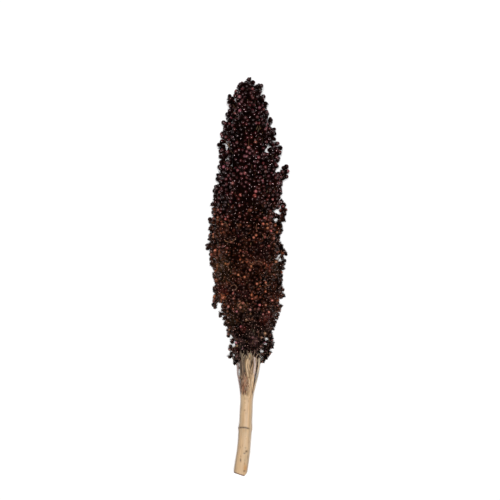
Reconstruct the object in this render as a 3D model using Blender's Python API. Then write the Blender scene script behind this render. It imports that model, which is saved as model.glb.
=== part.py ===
"""Sorghum seed head, cut and dried, lying on its side. Metres, +Z up.

The head lies along Y, with the cut end of its stalk towards -Y and its tip towards +Y. It is two bodies:
  stalk      the straw-coloured stem, which runs on inside the head, and the branches at the head's foot
  seed_head  the dark grains, as domes raised from the sprays that they grow in, with sockets for the stems
"""

import math
import random

import bmesh
import bpy
import numpy as np
from mathutils import Matrix, Vector, geometry

# The middle line, from the cut end: (distance, drift to +X, height above the surface)
MIDDLE_LINE = [
    (0.000, -0.0072, 0.0192),
    (0.024, -0.0041, 0.0212),
    (0.043, -0.0018, 0.0226),
    (0.068, -0.0003, 0.0240),
    (0.140, 0.0028, 0.0256),
    (0.203, -0.0010, 0.0256),
    (0.275, 0.0010, 0.0254),
    (0.363, 0.0018, 0.0246),
]

# Half the head's width over its grains: (distance, radius)
HEAD_OUTLINE = [
    (0.1000, 0.0080),
    (0.1110, 0.0120),
    (0.1330, 0.0218),
    (0.1550, 0.0285),
    (0.2000, 0.0332),
    (0.2410, 0.0332),
    (0.2730, 0.0283),
    (0.3050, 0.0245),
    (0.3350, 0.0178),
    (0.3540, 0.0100),
    (0.3605, 0.0045),
]
HEAD_FLATNESS = 0.87
HEAD_RINGS = (9, 5)

# The stalk's radius: it swells at the leaf ring, and runs on as the rachis inside the head
STALK_RADIUS = [
    (0.000, 0.0057),
    (0.020, 0.0058),
    (0.039, 0.0058),
    (0.0425, 0.0065),
    (0.0445, 0.0056),
    (0.060, 0.0054),
    (0.074, 0.0060),
    (0.090, 0.0056),
    (0.130, 0.0042),
    (0.220, 0.0028),
    (0.300, 0.0016),
]
LEAF_RING_TURNS = [0.0390, 0.0410, 0.0425, 0.0445]
STALK_STEP = 0.0120
STALK_STEP_IN_HEAD = 0.0300
STALK_BEVEL_RESOLUTION = 4

# The grains are drawn larger than life, so that their domes cover the head
GRAIN_PITCH = 0.0110
GRAIN_HEIGHT = 0.0052
GRAIN_END_MARGIN = 0.55
GRAIN_SHOULDER = 0.64
GRAIN_SHOULDER_DROP = 0.30
GRAIN_JITTER = 0.16
GRAIN_RISE_JITTER = 0.12

# The sprays packed round the head, as long lumps under the grains
SPRAY_COUNT = 44
SPRAY_HALF_LENGTH = 0.026
SPRAY_HALF_WIDTH = 0.0115
SPRAY_RISE = (0.0010, 0.0052)
SPRAY_MEAN_SHARE = 0.4
SPRAY_FULL_FROM_RADIUS = 0.0200
LEAST_CORE_RADIUS = 0.0014

# Sprays that stand clear of the head: (distance, angle round the head, start radius, lean, length).
# Angle 0 is +X and 90 is up. Lean is from straight out towards the tip, so past 90 or below 0 it hangs back.
LOOSE_SPRAYS = [
    (0.2610, 3, 0.0225, 57, 0.0215),
    (0.2810, 8, 0.0180, 50, 0.0185),
    (0.2980, 20, 0.0140, 52, 0.0180),
    (0.3040, 172, 0.0100, 50, 0.0180),
    (0.2200, 14, 0.0230, 30, 0.0150),
    (0.1980, 352, 0.0235, 24, 0.0160),
    (0.1760, 178, 0.0220, -78, 0.0260),
    (0.1320, 350, 0.0170, -98, 0.0300),
    (0.1210, 186, 0.0075, -80, 0.0240),
    (0.1190, 150, 0.0080, -78, 0.0220),
    (0.1200, 232, 0.0090, -70, 0.0200),
    (0.1190, 292, 0.0090, -70, 0.0200),
]
LOOSE_OUTLINE = [(0.0, 0.0042), (0.25, 0.0066), (0.6, 0.0068), (0.88, 0.0046), (1.0, 0.0026)]
LOOSE_RINGS = (4, 3)
LOOSE_PITCH = 0.0088
LOOSE_GRAIN_HEIGHT = 0.0032

# The branches that show at the head's foot, from the stalk into their sockets
BRANCH_COUNT = 9
BRANCH_FIRST_ANGLE = 0.5
BRANCH_START = (0.0700, 0.0840)
BRANCH_END = (0.1130, 0.1210)
BRANCH_SPREAD = 0.0098
BRANCH_RADIUS = (0.0014, 0.0010)
BRANCH_ROOT_DEPTH = 0.0022
BRANCH_SWING = 1.2
BRANCH_STEPS = 7
BRANCH_BEVEL_RESOLUTION = 2
SOCKET_GAP = 0.0003

GOLDEN_ANGLE = math.pi * (3 - math.sqrt(5))
GOLDEN_SHARE = (math.sqrt(5) - 1) / 2
HEXAGON_SHARE = math.sqrt(3) / 2
MAP_SAMPLES = 600
SAME_POINT = 1e-7
WELD_DISTANCE = 1e-6
SHARP_ANGLE = math.radians(50)
DRAW_SEED = 11

STRAW = ("straw", (0.66, 0.50, 0.30, 1.0), 0.62)
GRAIN = ("grain", (0.085, 0.022, 0.014, 1.0), 0.38)


def smooth(stations, at):
    """Values of a smooth curve through rows of (position, value, ...), one row for each position in at."""
    rows = np.array(stations, float)
    x, values = rows[:, 0], rows[:, 1:]
    slopes = np.gradient(values, x, axis=0)
    at = np.clip(np.atleast_1d(np.asarray(at, float)), x[0], x[-1])
    k = np.clip(np.searchsorted(x, at) - 1, 0, len(x) - 2)
    span = (x[k + 1] - x[k])[:, None]
    t = (at - x[k])[:, None] / span
    start = (1 + 2 * t) * (1 - t) ** 2 * values[k] + t * (1 - t) ** 2 * span * slopes[k]
    end = t**2 * (3 - 2 * t) * values[k + 1] + t**2 * (t - 1) * span * slopes[k + 1]
    return start + end


def material(name, colour, roughness):
    made = bpy.data.materials.new(name)
    made.use_nodes = True
    shader = made.node_tree.nodes["Principled BSDF"]
    shader.inputs["Base Color"].default_value = colour
    shader.inputs["Roughness"].default_value = roughness
    shader.inputs["Metallic"].default_value = 0.0
    return made


def collection(name):
    made = bpy.data.collections.new(name)
    bpy.context.scene.collection.children.link(made)
    return made


class TurnedMap:
    """The side of a turned body laid out flat as (height, angle), where height is arc length over radius.

    Small round shapes stay round in this map, so its triangles suit the body too.
    """

    def __init__(self, outline):
        self.y = np.linspace(outline[0][0], outline[-1][0], MAP_SAMPLES)
        self.r = smooth(outline, self.y)[:, 0]
        self.slope = np.gradient(self.r, self.y)
        step = np.hypot(np.diff(self.y), np.diff(self.r))
        middle = (self.r[1:] + self.r[:-1]) / 2
        self.length = np.concatenate([[0.0], np.cumsum(step)])
        self.height = np.concatenate([[0.0], np.cumsum(step / middle)])
        self.area = np.concatenate([[0.0], np.cumsum(step * middle)]) * math.tau

    def at(self, height):
        """Distance along the axis, radius and slope of the outline at a height of the map."""
        return [float(np.interp(height, self.height, row)) for row in (self.y, self.r, self.slope)]

    def grain_places(self, pitch, draw):
        """Grains a golden angle apart, each with the same area of the body, nudged a little off the rule."""
        margin = GRAIN_END_MARGIN * pitch
        ends = np.interp([margin, self.length[-1] - margin], self.length, self.area)
        count = round((ends[1] - ends[0]) / (pitch**2 * HEXAGON_SHARE))
        places = []
        for i in range(count):
            area = ends[0] + (i + 0.5) / count * (ends[1] - ends[0])
            height = float(np.interp(area, self.area, self.height))
            nudge = GRAIN_JITTER * pitch / self.at(height)[1]
            angle = i * GOLDEN_ANGLE + draw.uniform(-nudge, nudge)
            places.append((height + draw.uniform(-nudge, nudge) / 2, angle % math.tau))
        return places


def map_triangles(points):
    """Triangles between map points, across the seam too: three (index, turn) corners, turn in whole turns."""
    count = len(points)
    laid_out = [Vector((h, a + math.tau * turn)) for turn in (-1, 0, 1) for h, a in points]
    _, _, faces, sources, _, _ = geometry.delaunay_2d_cdt(laid_out, [], [], 0, SAME_POINT)
    found = []
    for face in faces:
        corners = [sources[v][0] for v in face]
        middle = sum(laid_out[c].y for c in corners) / 3
        if 0 <= middle < math.tau:
            found.append([(c % count, c // count - 1) for c in corners])
    return found


def domed_body(name, flat_map, point, places, rings, height, draw):
    """A closed mesh with a dome on each place and an open ring closed by a fan at each end.

    point(height, angle, rise) gives the surface point. Three neighbouring domes meet in one low corner.
    """
    ring_points = [(0.0, math.tau * k / rings[0]) for k in range(rings[0])]
    tip_points = [(float(flat_map.height[-1]), math.tau * k / rings[1]) for k in range(rings[1])]
    points = ring_points + places + tip_points
    grains = range(rings[0], rings[0] + len(places))
    triangles = map_triangles(points)
    rise = {g: height * draw.uniform(-GRAIN_RISE_JITTER, GRAIN_RISE_JITTER) for g in grains}

    vertices, faces = [], []

    def add(where):
        vertices.append(where)
        return len(vertices) - 1

    centre = [add(point(h, a, rise.get(i, -height))) for i, (h, a) in enumerate(points)]
    low, shoulder, left_of = [], {}, {}
    for t, corners in enumerate(triangles):
        flat = [(points[i][0], points[i][1] + math.tau * turn) for i, turn in corners]
        middle = tuple(sum(c[k] for c in flat) / 3 for k in (0, 1))
        low.append(add(point(*middle, -height)))
        for (i, _), (h, a) in zip(corners, flat):
            if i in grains:
                h += GRAIN_SHOULDER * (middle[0] - h)
                a += GRAIN_SHOULDER * (middle[1] - a)
                shoulder[i, t] = add(point(h, a, rise[i] - GRAIN_SHOULDER_DROP * height))
        for k in range(3):
            (i, turn), (j, other) = corners[k], corners[(k + 1) % 3]
            left_of[i, j, other - turn] = t

    for (i, j, turn), t in left_of.items():
        across = left_of.get((j, i, -turn))
        if across is None:
            faces.append((centre[i], centre[j], low[t]))
        elif i in grains:
            faces.append((centre[i], shoulder[i, across], shoulder[i, t]))
            faces.append((shoulder[i, across], low[across], shoulder[i, t]))
            faces.append((shoulder[i, t], low[across], low[t]))
        else:
            faces.append((centre[i], low[across], low[t]))

    last = len(points)
    for ring, point_out in ((range(rings[0]), 0.0), (range(last - rings[1], last), height / 2)):
        middle = sum((vertices[centre[i]] for i in ring), Vector()) / len(ring)
        pole = add(middle + Vector((0, point_out, 0)))
        for k, i in enumerate(ring):
            faces.append((pole, centre[i], centre[ring[(k + 1) % len(ring)]]))

    mesh = bpy.data.meshes.new(name)
    mesh.from_pydata(vertices, [], faces)
    shaped = bmesh.new()
    shaped.from_mesh(mesh)
    bmesh.ops.recalc_face_normals(shaped, faces=shaped.faces)
    shaped.to_mesh(mesh)
    shaped.free()
    return bpy.data.objects.new(name, mesh)


def raised(radius, slope, rise):
    """Reach from the middle line, and shift along it, of a point raised from a turned body's side."""
    steepness = math.hypot(1.0, slope)
    return max(radius + rise / steepness, LEAST_CORE_RADIUS), -rise * slope / steepness


def spray_lumps(flat_map, draw):
    """How far the sprays under the grains stand out, as a function of (distance, radius, angle)."""
    lumps = []
    mean_rise = SPRAY_MEAN_SHARE * SPRAY_RISE[1]
    for i in range(SPRAY_COUNT):
        y = float(np.interp((i + 0.5) / SPRAY_COUNT * flat_map.area[-1], flat_map.area, flat_map.y))
        lumps.append((y, i * GOLDEN_ANGLE % math.tau, draw.uniform(*SPRAY_RISE)))

    def rise(y, radius, angle):
        best = 0.0
        for middle, direction, height in lumps:
            turn = (angle - direction + math.pi) % math.tau - math.pi
            apart = math.hypot((y - middle) / SPRAY_HALF_LENGTH, turn * radius / SPRAY_HALF_WIDTH)
            best = max(best, height * (1 - apart**2))
        return (best - mean_rise) * min(1.0, radius / SPRAY_FULL_FROM_RADIUS)

    return rise


def grain_head(draw):
    """The head's main body, pressed flat where it lies on the surface."""
    flat_map = TurnedMap(HEAD_OUTLINE)
    lump = spray_lumps(flat_map, draw)

    def point(height, angle, rise):
        y, radius, slope = flat_map.at(height)
        drift, up = smooth(MIDDLE_LINE, y)[0]
        reach, shift = raised(radius, slope, rise + lump(y, radius, angle))
        x = drift + reach * math.cos(angle)
        z = up + HEAD_FLATNESS * reach * math.sin(angle)
        return Vector((x, y + shift, max(z, 0.0)))

    places = flat_map.grain_places(GRAIN_PITCH, draw)
    return domed_body("seed_head", flat_map, point, places, HEAD_RINGS, GRAIN_HEIGHT, draw)


def loose_spray(number, row, draw):
    """One spray that stands clear of the head, rooted inside it."""
    distance, angle, start, lean, length = row
    outline = [(share * length, radius) for share, radius in LOOSE_OUTLINE]
    flat_map = TurnedMap(outline)

    def point(height, turn, rise):
        y, radius, slope = flat_map.at(height)
        reach, shift = raised(radius, slope, rise)
        return Vector((reach * math.cos(turn), y + shift, reach * math.sin(turn)))

    places = flat_map.grain_places(LOOSE_PITCH, draw)
    made = domed_body(f"loose_spray_{number}", flat_map, point, places, LOOSE_RINGS, LOOSE_GRAIN_HEIGHT, draw)
    out = Vector((math.cos(math.radians(angle)), 0, HEAD_FLATNESS * math.sin(math.radians(angle))))
    lean = math.radians(lean)
    direction = out.normalized() * math.cos(lean) + Vector((0, 1, 0)) * math.sin(lean)
    drift, up = smooth(MIDDLE_LINE, distance)[0]
    root = Vector((drift, distance, up)) + out * start
    made.matrix_world = Matrix.Translation(root) @ direction.to_track_quat("Y", "Z").to_matrix().to_4x4()
    return made


def tube(name, line, radii, resolution):
    """A round stem along a line of points, as a closed mesh."""
    data = bpy.data.curves.new(name, "CURVE")
    data.dimensions = "3D"
    data.bevel_depth = 1.0
    data.bevel_resolution = resolution
    data.use_fill_caps = True
    spline = data.splines.new("POLY")
    spline.points.add(len(line) - 1)
    for spot, where, radius in zip(spline.points, line, radii):
        spot.co = (*where, 1.0)
        spot.radius = radius
    curve = bpy.data.objects.new(name, data)
    bpy.context.scene.collection.objects.link(curve)
    graph = bpy.context.evaluated_depsgraph_get()
    mesh = bpy.data.meshes.new_from_object(curve.evaluated_get(graph))
    bpy.data.objects.remove(curve)
    bpy.data.curves.remove(data)
    welded = bmesh.new()
    welded.from_mesh(mesh)
    bmesh.ops.remove_doubles(welded, verts=welded.verts, dist=WELD_DISTANCE)
    bmesh.ops.recalc_face_normals(welded, faces=welded.faces)
    welded.to_mesh(mesh)
    welded.free()
    mesh.name = name
    return bpy.data.objects.new(name, mesh)


def stem_stations():
    """Distances along the stalk: the turns of its leaf ring, even steps, and longer steps inside the head."""
    bare = np.arange(0.0, BRANCH_END[0], STALK_STEP)
    kept = [s for s in bare if all(abs(s - turn) > STALK_STEP / 3 for turn in LEAF_RING_TURNS)]
    inside = np.arange(kept[-1] + STALK_STEP_IN_HEAD, STALK_RADIUS[-1][0], STALK_STEP_IN_HEAD)
    return sorted(kept + LEAF_RING_TURNS + list(inside))


def stem(name, extra):
    """The stalk and rachis as one stem, made wider by extra."""
    stations = stem_stations()
    line = [(x, s, z) for s, (x, z) in zip(stations, smooth(MIDDLE_LINE, stations))]
    radii = smooth(STALK_RADIUS, stations)[:, 0] + extra
    return tube(name, line, radii, STALK_BEVEL_RESOLUTION)


def branch(name, number, extra):
    """One branch: it leaves the stalk close along its side, then swings out into the head's foot."""
    share = number * GOLDEN_SHARE % 1.0
    angle = BRANCH_FIRST_ANGLE + number * GOLDEN_ANGLE
    start = BRANCH_START[0] + share * (BRANCH_START[1] - BRANCH_START[0])
    end = BRANCH_END[0] + (1 - share) * (BRANCH_END[1] - BRANCH_END[0])
    line, radii = [], []
    for step in range(BRANCH_STEPS):
        t = step / (BRANCH_STEPS - 1)
        s = start + t * (end - start)
        x, z = smooth(MIDDLE_LINE, s)[0]
        root = smooth(STALK_RADIUS, start)[0][0] - BRANCH_ROOT_DEPTH
        away = root + (BRANCH_SPREAD - root) * t**BRANCH_SWING
        line.append((x + away * math.cos(angle), s, z + away * math.sin(angle)))
        radii.append(BRANCH_RADIUS[0] + t * (BRANCH_RADIUS[1] - BRANCH_RADIUS[0]) + extra)
    return tube(name, line, radii, BRANCH_BEVEL_RESOLUTION)


def keep_outer_skin(mesh):
    """Fills hollows that a join has sealed and drops loose scraps: only the largest skin stays."""
    shaped = bmesh.new()
    shaped.from_mesh(mesh)
    unseen, skins = set(shaped.verts), []
    while unseen:
        edge_of_search = [unseen.pop()]
        skin = list(edge_of_search)
        while edge_of_search:
            vertex = edge_of_search.pop()
            found = {e.other_vert(vertex) for e in vertex.link_edges} & unseen
            unseen -= found
            edge_of_search += found
            skin += found
        skins.append(skin)
    skins.sort(key=len)
    for skin in skins[:-1]:
        bmesh.ops.delete(shaped, geom=skin, context="VERTS")
    shaped.to_mesh(mesh)
    shaped.free()


def combine(base, operation, others):
    """Applies one Boolean of a collection's objects to base, and removes those objects."""
    modifier = base.modifiers.new(operation.lower(), "BOOLEAN")
    modifier.operation = operation
    modifier.operand_type = "COLLECTION"
    modifier.collection = others
    modifier.solver = "EXACT"
    graph = bpy.context.evaluated_depsgraph_get()
    mesh = bpy.data.meshes.new_from_object(base.evaluated_get(graph))
    base.modifiers.clear()
    base.data = mesh
    keep_outer_skin(mesh)
    for other in list(others.objects):
        bpy.data.objects.remove(other)


def stalk_body(name, extra, home):
    """Stem and branches in one body, made wider by extra."""
    helpers = collection(name + "_branches")
    body = stem(name, extra)
    home.objects.link(body)
    for number in range(BRANCH_COUNT):
        helpers.objects.link(branch(f"{name}_branch_{number}", number, extra))
    combine(body, "UNION", helpers)
    bpy.data.collections.remove(helpers)
    return body


def finish(body, look):
    body.data.materials.clear()
    body.data.materials.append(material(*look))
    body.data.shade_smooth()
    body.data.set_sharp_from_angle(angle=SHARP_ANGLE)


def stand_on_origin(bodies):
    """Moves the bodies together so that the origin is under the middle of their box, on the surface."""
    corners = [body.matrix_world @ v.co for body in bodies for v in body.data.vertices]
    low = [min(c[k] for c in corners) for k in range(3)]
    high = [max(c[k] for c in corners) for k in range(3)]
    offset = Matrix.Translation((-(low[0] + high[0]) / 2, -(low[1] + high[1]) / 2, -low[2]))
    for body in bodies:
        body.data.transform(offset)


def main():
    for old in list(bpy.data.objects):
        bpy.data.objects.remove(old)
    draw = random.Random(DRAW_SEED)
    home = collection("sorghum_seed_head")
    sprays = collection("loose_sprays")
    sockets = collection("cutters")

    stalk = stalk_body("stalk", 0.0, home)
    head = grain_head(draw)
    home.objects.link(head)
    for number, row in enumerate(LOOSE_SPRAYS):
        sprays.objects.link(loose_spray(number, row, draw))
    combine(head, "UNION", sprays)
    stalk_body("socket_cutter", SOCKET_GAP, sockets)
    combine(head, "DIFFERENCE", sockets)

    finish(stalk, STRAW)
    finish(head, GRAIN)
    stand_on_origin([stalk, head])


main()
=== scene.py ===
import math
import random

import bmesh
import bpy
import numpy as np
from mathutils import Matrix, Vector, noise
from mathutils.bvhtree import BVHTree
from mathutils.kdtree import KDTree


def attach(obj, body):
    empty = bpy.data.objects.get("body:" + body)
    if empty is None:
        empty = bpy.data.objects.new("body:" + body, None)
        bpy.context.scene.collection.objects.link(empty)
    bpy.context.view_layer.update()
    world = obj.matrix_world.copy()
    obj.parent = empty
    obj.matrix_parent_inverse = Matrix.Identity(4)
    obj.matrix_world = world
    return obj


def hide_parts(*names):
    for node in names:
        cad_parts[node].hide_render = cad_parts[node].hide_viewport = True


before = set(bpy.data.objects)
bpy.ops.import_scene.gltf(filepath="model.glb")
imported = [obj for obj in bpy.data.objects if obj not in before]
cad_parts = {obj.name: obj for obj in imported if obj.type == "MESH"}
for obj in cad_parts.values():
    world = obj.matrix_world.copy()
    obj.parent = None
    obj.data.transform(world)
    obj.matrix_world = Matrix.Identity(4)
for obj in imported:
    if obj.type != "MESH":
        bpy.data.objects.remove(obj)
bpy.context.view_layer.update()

mm = 0.001
goldenAngle = math.pi * (3 - math.sqrt(5))


# small helpers

def deselectAll():
    if bpy.context.object and bpy.context.object.mode != "OBJECT":
        bpy.ops.object.mode_set(mode="OBJECT")
    bpy.ops.object.select_all(action="DESELECT")


def editOnly(piece):
    # only this piece is selected, and it is open in edit mode with nothing picked
    deselectAll()
    piece.select_set(True)
    bpy.context.view_layer.objects.active = piece
    bpy.ops.object.mode_set(mode="EDIT")
    bpy.ops.mesh.select_mode(type="VERT")
    bpy.ops.mesh.select_all(action="DESELECT")


def pick(piece, test):
    # picks the points that pass the test
    shaped = bmesh.from_edit_mesh(piece.data)
    for point in shaped.verts:
        point.select_set(False)
    shaped.select_flush(False)
    for point in shaped.verts:
        if test(point.co):
            point.select_set(True)
    shaped.select_flush(True)
    bmesh.update_edit_mesh(piece.data)


def closeEdit():
    bpy.ops.object.mode_set(mode="OBJECT")


def applyPlace(piece):
    deselectAll()
    piece.select_set(True)
    bpy.context.view_layer.objects.active = piece
    bpy.ops.object.transform_apply(location=True, rotation=True, scale=True)


def shadeSmooth(piece, angle=180):
    deselectAll()
    piece.select_set(True)
    bpy.context.view_layer.objects.active = piece
    if angle >= 180:
        bpy.ops.object.shade_smooth()
    else:
        bpy.ops.object.shade_smooth_by_angle(angle=math.radians(angle))


def meshPoints(mesh):
    flat = np.empty(len(mesh.vertices) * 3)
    mesh.vertices.foreach_get("co", flat)
    return flat.reshape(-1, 3)


def setPoints(mesh, points):
    mesh.vertices.foreach_set("co", np.asarray(points, float).ravel())
    mesh.update()


def setTint(mesh, tints, name="tint"):
    layer = mesh.attributes.new(name, "FLOAT_COLOR", "POINT")
    rgba = np.ones((len(mesh.vertices), 4))
    rgba[:, :3] = tints
    layer.data.foreach_set("color", rgba.ravel())


def setNumber(mesh, name, values):
    layer = mesh.attributes.new(name, "FLOAT", "POINT")
    layer.data.foreach_set("value", np.asarray(values, float).ravel())


def setVector(mesh, name, values):
    layer = mesh.attributes.new(name, "FLOAT_VECTOR", "POINT")
    layer.data.foreach_set("vector", np.asarray(values, float).ravel())


def smoothRow(rows, at):
    # values of a smooth line through rows of (place, value, ...)
    rows = np.array(rows, float)
    x, values = rows[:, 0], rows[:, 1:]
    slopes = np.gradient(values, x, axis=0)
    at = np.clip(np.atleast_1d(np.asarray(at, float)), x[0], x[-1])
    k = np.clip(np.searchsorted(x, at) - 1, 0, len(x) - 2)
    span = (x[k + 1] - x[k])[:, None]
    t = (at - x[k])[:, None] / span
    start = (1 + 2 * t) * (1 - t) ** 2 * values[k] + t * (1 - t) ** 2 * span * slopes[k]
    end = t**2 * (3 - 2 * t) * values[k + 1] + t**2 * (t - 1) * span * slopes[k + 1]
    return start + end


# the middle line of stalk and head: place along it, then sideways, then height
middleLine = [
    (-0.1793, -0.0053, 0.0192),
    (-0.1553, -0.0021, 0.0212),
    (-0.1363, -0.0007, 0.0226),
    (-0.1113, 0.0005, 0.0240),
    (-0.0393, 0.0036, 0.0256),
    (0.0237, -0.0002, 0.0256),
    (0.0957, 0.0018, 0.0254),
    (0.1837, 0.0026, 0.0246),
]


def middleAt(y):
    x, z = smoothRow(middleLine, y)[0]
    return Vector((x, y, z))


# the camera looks straight down, and 1 px of its picture is 0.9 mm at the height of the middle line
cameraSpot = Vector((0.00354, 0.02361, 1.276))
cameraHeight = 1.25


def acrossAt(column):
    return 0.0009 * column - 0.22146


def alongAt(row):
    return 0.24861 - 0.0009 * row


def placeAt(column, row, z):
    # the point at height z that shows at a column and row of the picture
    share = (cameraSpot.z - z) / cameraHeight
    x = cameraSpot.x + (acrossAt(column) - cameraSpot.x) * share
    y = cameraSpot.y + (alongAt(row) - cameraSpot.y) * share
    return Vector((x, y, z))


def growStem(name, stations, line, radii, around):
    # a round stem that grows from its first ring, one ring at a time
    deselectAll()
    bpy.ops.mesh.primitive_circle_add(
        vertices=around, radius=float(radii[0]), fill_type="NGON",
        location=(line[0][0], stations[0], line[0][1]), rotation=(math.radians(90), 0, 0),
    )
    stem = bpy.context.object
    stem.name = name
    applyPlace(stem)
    editOnly(stem)
    bpy.ops.mesh.select_all(action="SELECT")
    for k in range(1, len(stations)):
        move = (line[k][0] - line[k - 1][0], stations[k] - stations[k - 1], line[k][1] - line[k - 1][1])
        bpy.ops.mesh.extrude_region_move(TRANSFORM_OT_translate={"value": [float(v) for v in move]})
        share = float(radii[k] / radii[k - 1])
        centre = (float(line[k][0]), float(stations[k]), float(line[k][1]))
        bpy.ops.transform.resize(value=(share, share, share), center_override=centre)
    bpy.ops.mesh.select_all(action="SELECT")
    bpy.ops.mesh.normals_make_consistent(inside=False)
    closeEdit()
    return stem


# materials

class Nodes:
    # lays out the nodes of one material from left to right
    def __init__(self, name):
        self.material = bpy.data.materials.new(name)
        self.material.use_nodes = True
        self.tree = self.material.node_tree
        self.shader = self.tree.nodes["Principled BSDF"]
        self.column = -1400

    def add(self, kind, **settings):
        node = self.tree.nodes.new(kind)
        node.location = (self.column, 300 - 180 * (len(self.tree.nodes) % 5))
        self.column += 60
        for key, value in settings.items():
            setattr(node, key, value)
        return node

    def join(self, source, target):
        self.tree.links.new(source, target)

    def attribute(self, name):
        return self.add("ShaderNodeAttribute", attribute_name=name)

    def noise(self, coords, scale, detail=4.0, rough=0.6, stretch=None, distortion=0.0):
        if stretch:
            mapping = self.add("ShaderNodeMapping")
            mapping.inputs["Scale"].default_value = stretch
            self.join(coords, mapping.inputs["Vector"])
            coords = mapping.outputs["Vector"]
        node = self.add("ShaderNodeTexNoise")
        node.inputs["Scale"].default_value = scale
        node.inputs["Detail"].default_value = detail
        node.inputs["Roughness"].default_value = rough
        node.inputs["Distortion"].default_value = distortion
        self.join(coords, node.inputs["Vector"])
        return node.outputs["Fac"]

    def spread(self, value, low, high, toLow, toHigh):
        node = self.add("ShaderNodeMapRange")
        node.clamp = True
        for key, number in (("From Min", low), ("From Max", high), ("To Min", toLow), ("To Max", toHigh)):
            node.inputs[key].default_value = number
        self.join(value, node.inputs["Value"])
        return node.outputs["Result"]

    def mix(self, factor, first, second, blend="MIX"):
        node = self.add("ShaderNodeMix", data_type="RGBA", blend_type=blend)
        for socket, given in ((node.inputs[0], factor), (node.inputs[6], first), (node.inputs[7], second)):
            if isinstance(given, (int, float, tuple)):
                socket.default_value = given
            else:
                self.join(given, socket)
        return node.outputs[2]

    def math(self, operation, first, second=0.0):
        node = self.add("ShaderNodeMath", operation=operation)
        for socket, given in ((node.inputs[0], first), (node.inputs[1], second)):
            if isinstance(given, (int, float)):
                socket.default_value = given
            else:
                self.join(given, socket)
        return node.outputs[0]

    def bump(self, height, distance, strength=1.0):
        node = self.add("ShaderNodeBump")
        node.inputs["Distance"].default_value = distance
        node.inputs["Strength"].default_value = strength
        self.join(height, node.inputs["Height"])
        self.join(node.outputs["Normal"], self.shader.inputs["Normal"])


def grey(value):
    return (value, value, value, 1.0)


def makeGrainSkin():
    look = {"roughness": (0.18, 0.52), "mottle": 900, "bump": 0.00010, "sheen": 0.60}
    n = Nodes("grainSkin")
    place = n.add("ShaderNodeTexCoord").outputs["Object"]
    tint = n.attribute("tint").outputs["Color"]
    mottle = n.noise(place, look["mottle"], 3.0)
    fine = n.noise(place, look["mottle"] * 3.2, 2.0)
    patch = n.noise(place, 70, 2.0)
    shade = n.mix(n.spread(mottle, 0.35, 0.7, 0.0, 1.0), grey(0.62), grey(1.35))
    dusty = n.mix(n.spread(patch, 0.5, 0.75, 0.0, 0.03), tint, (0.17, 0.060, 0.050, 1))
    colour = n.mix(1.0, dusty, shade, "MULTIPLY")
    n.join(colour, n.shader.inputs["Base Color"])
    rough = n.spread(n.attribute("dull").outputs["Fac"], 0.0, 1.0, *look["roughness"])
    n.join(n.math("ADD", rough, n.spread(fine, 0.3, 0.7, -0.03, 0.04)), n.shader.inputs["Roughness"])
    n.shader.inputs["Specular IOR Level"].default_value = look["sheen"]
    rusty = n.attribute("rusty").outputs["Fac"]
    n.join(n.mix(rusty, (1.0, 0.76, 0.78, 1), (1.0, 0.60, 0.50, 1)), n.shader.inputs["Specular Tint"])
    n.bump(n.math("ADD", mottle, n.math("MULTIPLY", fine, 0.5)), look["bump"], 0.6)
    return n.material


def makeHuskSkin():
    look = {"roughness": (0.36, 0.6), "streak": 1500, "bump": 0.00015, "sheen": 0.05}
    n = Nodes("huskSkin")
    place = n.add("ShaderNodeTexCoord").outputs["Object"]
    tint = n.attribute("tint").outputs["Color"]
    streak = n.noise(place, look["streak"], 4.0, 0.7)
    coarse = n.noise(place, 420, 2.0)
    shade = n.mix(n.spread(streak, 0.3, 0.7, 0.0, 1.0), grey(0.55), grey(1.4))
    colour = n.mix(1.0, tint, shade, "MULTIPLY")
    n.join(colour, n.shader.inputs["Base Color"])
    n.join(n.spread(coarse, 0.3, 0.7, *look["roughness"]), n.shader.inputs["Roughness"])
    n.shader.inputs["Specular IOR Level"].default_value = look["sheen"]
    n.shader.inputs["Specular Tint"].default_value = (1.0, 0.60, 0.50, 1.0)
    n.bump(streak, look["bump"], 0.7)
    return n.material


def makeStrawSkin(name="strawSkin", fibre=1.0, sheen=0.5):
    look = {"roughness": (0.42, 0.68), "bump": 0.00022}
    n = Nodes(name)
    strand = n.attribute("strand").outputs["Vector"]
    tint = n.attribute("tint").outputs["Color"]
    # fine fibres run the length of the straw, so the pattern is pulled long along it
    fibres = n.noise(strand, 900 * fibre, 5.0, 0.7, (1.0, 0.022, 1.0))
    broad = n.noise(strand, 320 * fibre, 3.0, 0.6, (1.0, 0.05, 1.0))
    blotch = n.noise(strand, 120, 4.0, 0.65, (1.0, 0.45, 1.0), 0.4)
    fleck = n.noise(strand, 620, 2.0, 0.5, (1.0, 0.45, 1.0))
    shade = n.mix(n.spread(fibres, 0.32, 0.68, 0.0, 1.0), grey(0.80), grey(1.14))
    colour = n.mix(1.0, tint, shade, "MULTIPLY")
    band = n.mix(n.spread(broad, 0.35, 0.7, 0.0, 1.0), (0.90, 0.84, 0.76, 1), (1.06, 1.04, 1.0, 1))
    colour = n.mix(0.85, colour, n.mix(1.0, colour, band, "MULTIPLY"))
    cool = n.noise(strand, 210, 4.0, 0.6, (1.0, 0.35, 1.0), 0.6)
    colour = n.mix(n.spread(cool, 0.50, 0.70, 0.0, 0.34), colour, (0.44, 0.36, 0.25, 1))
    colour = n.mix(n.spread(blotch, 0.54, 0.72, 0.0, 0.42), colour, (0.50, 0.27, 0.11, 1))
    colour = n.mix(n.spread(fleck, 0.70, 0.76, 0.0, 0.65), colour, (0.26, 0.12, 0.045, 1))
    n.join(colour, n.shader.inputs["Base Color"])
    n.join(n.spread(fibres, 0.3, 0.7, *look["roughness"]), n.shader.inputs["Roughness"])
    n.shader.inputs["Specular IOR Level"].default_value = sheen
    n.bump(n.math("ADD", fibres, n.math("MULTIPLY", broad, 0.8)), look["bump"], 0.55)
    return n.material


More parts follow.
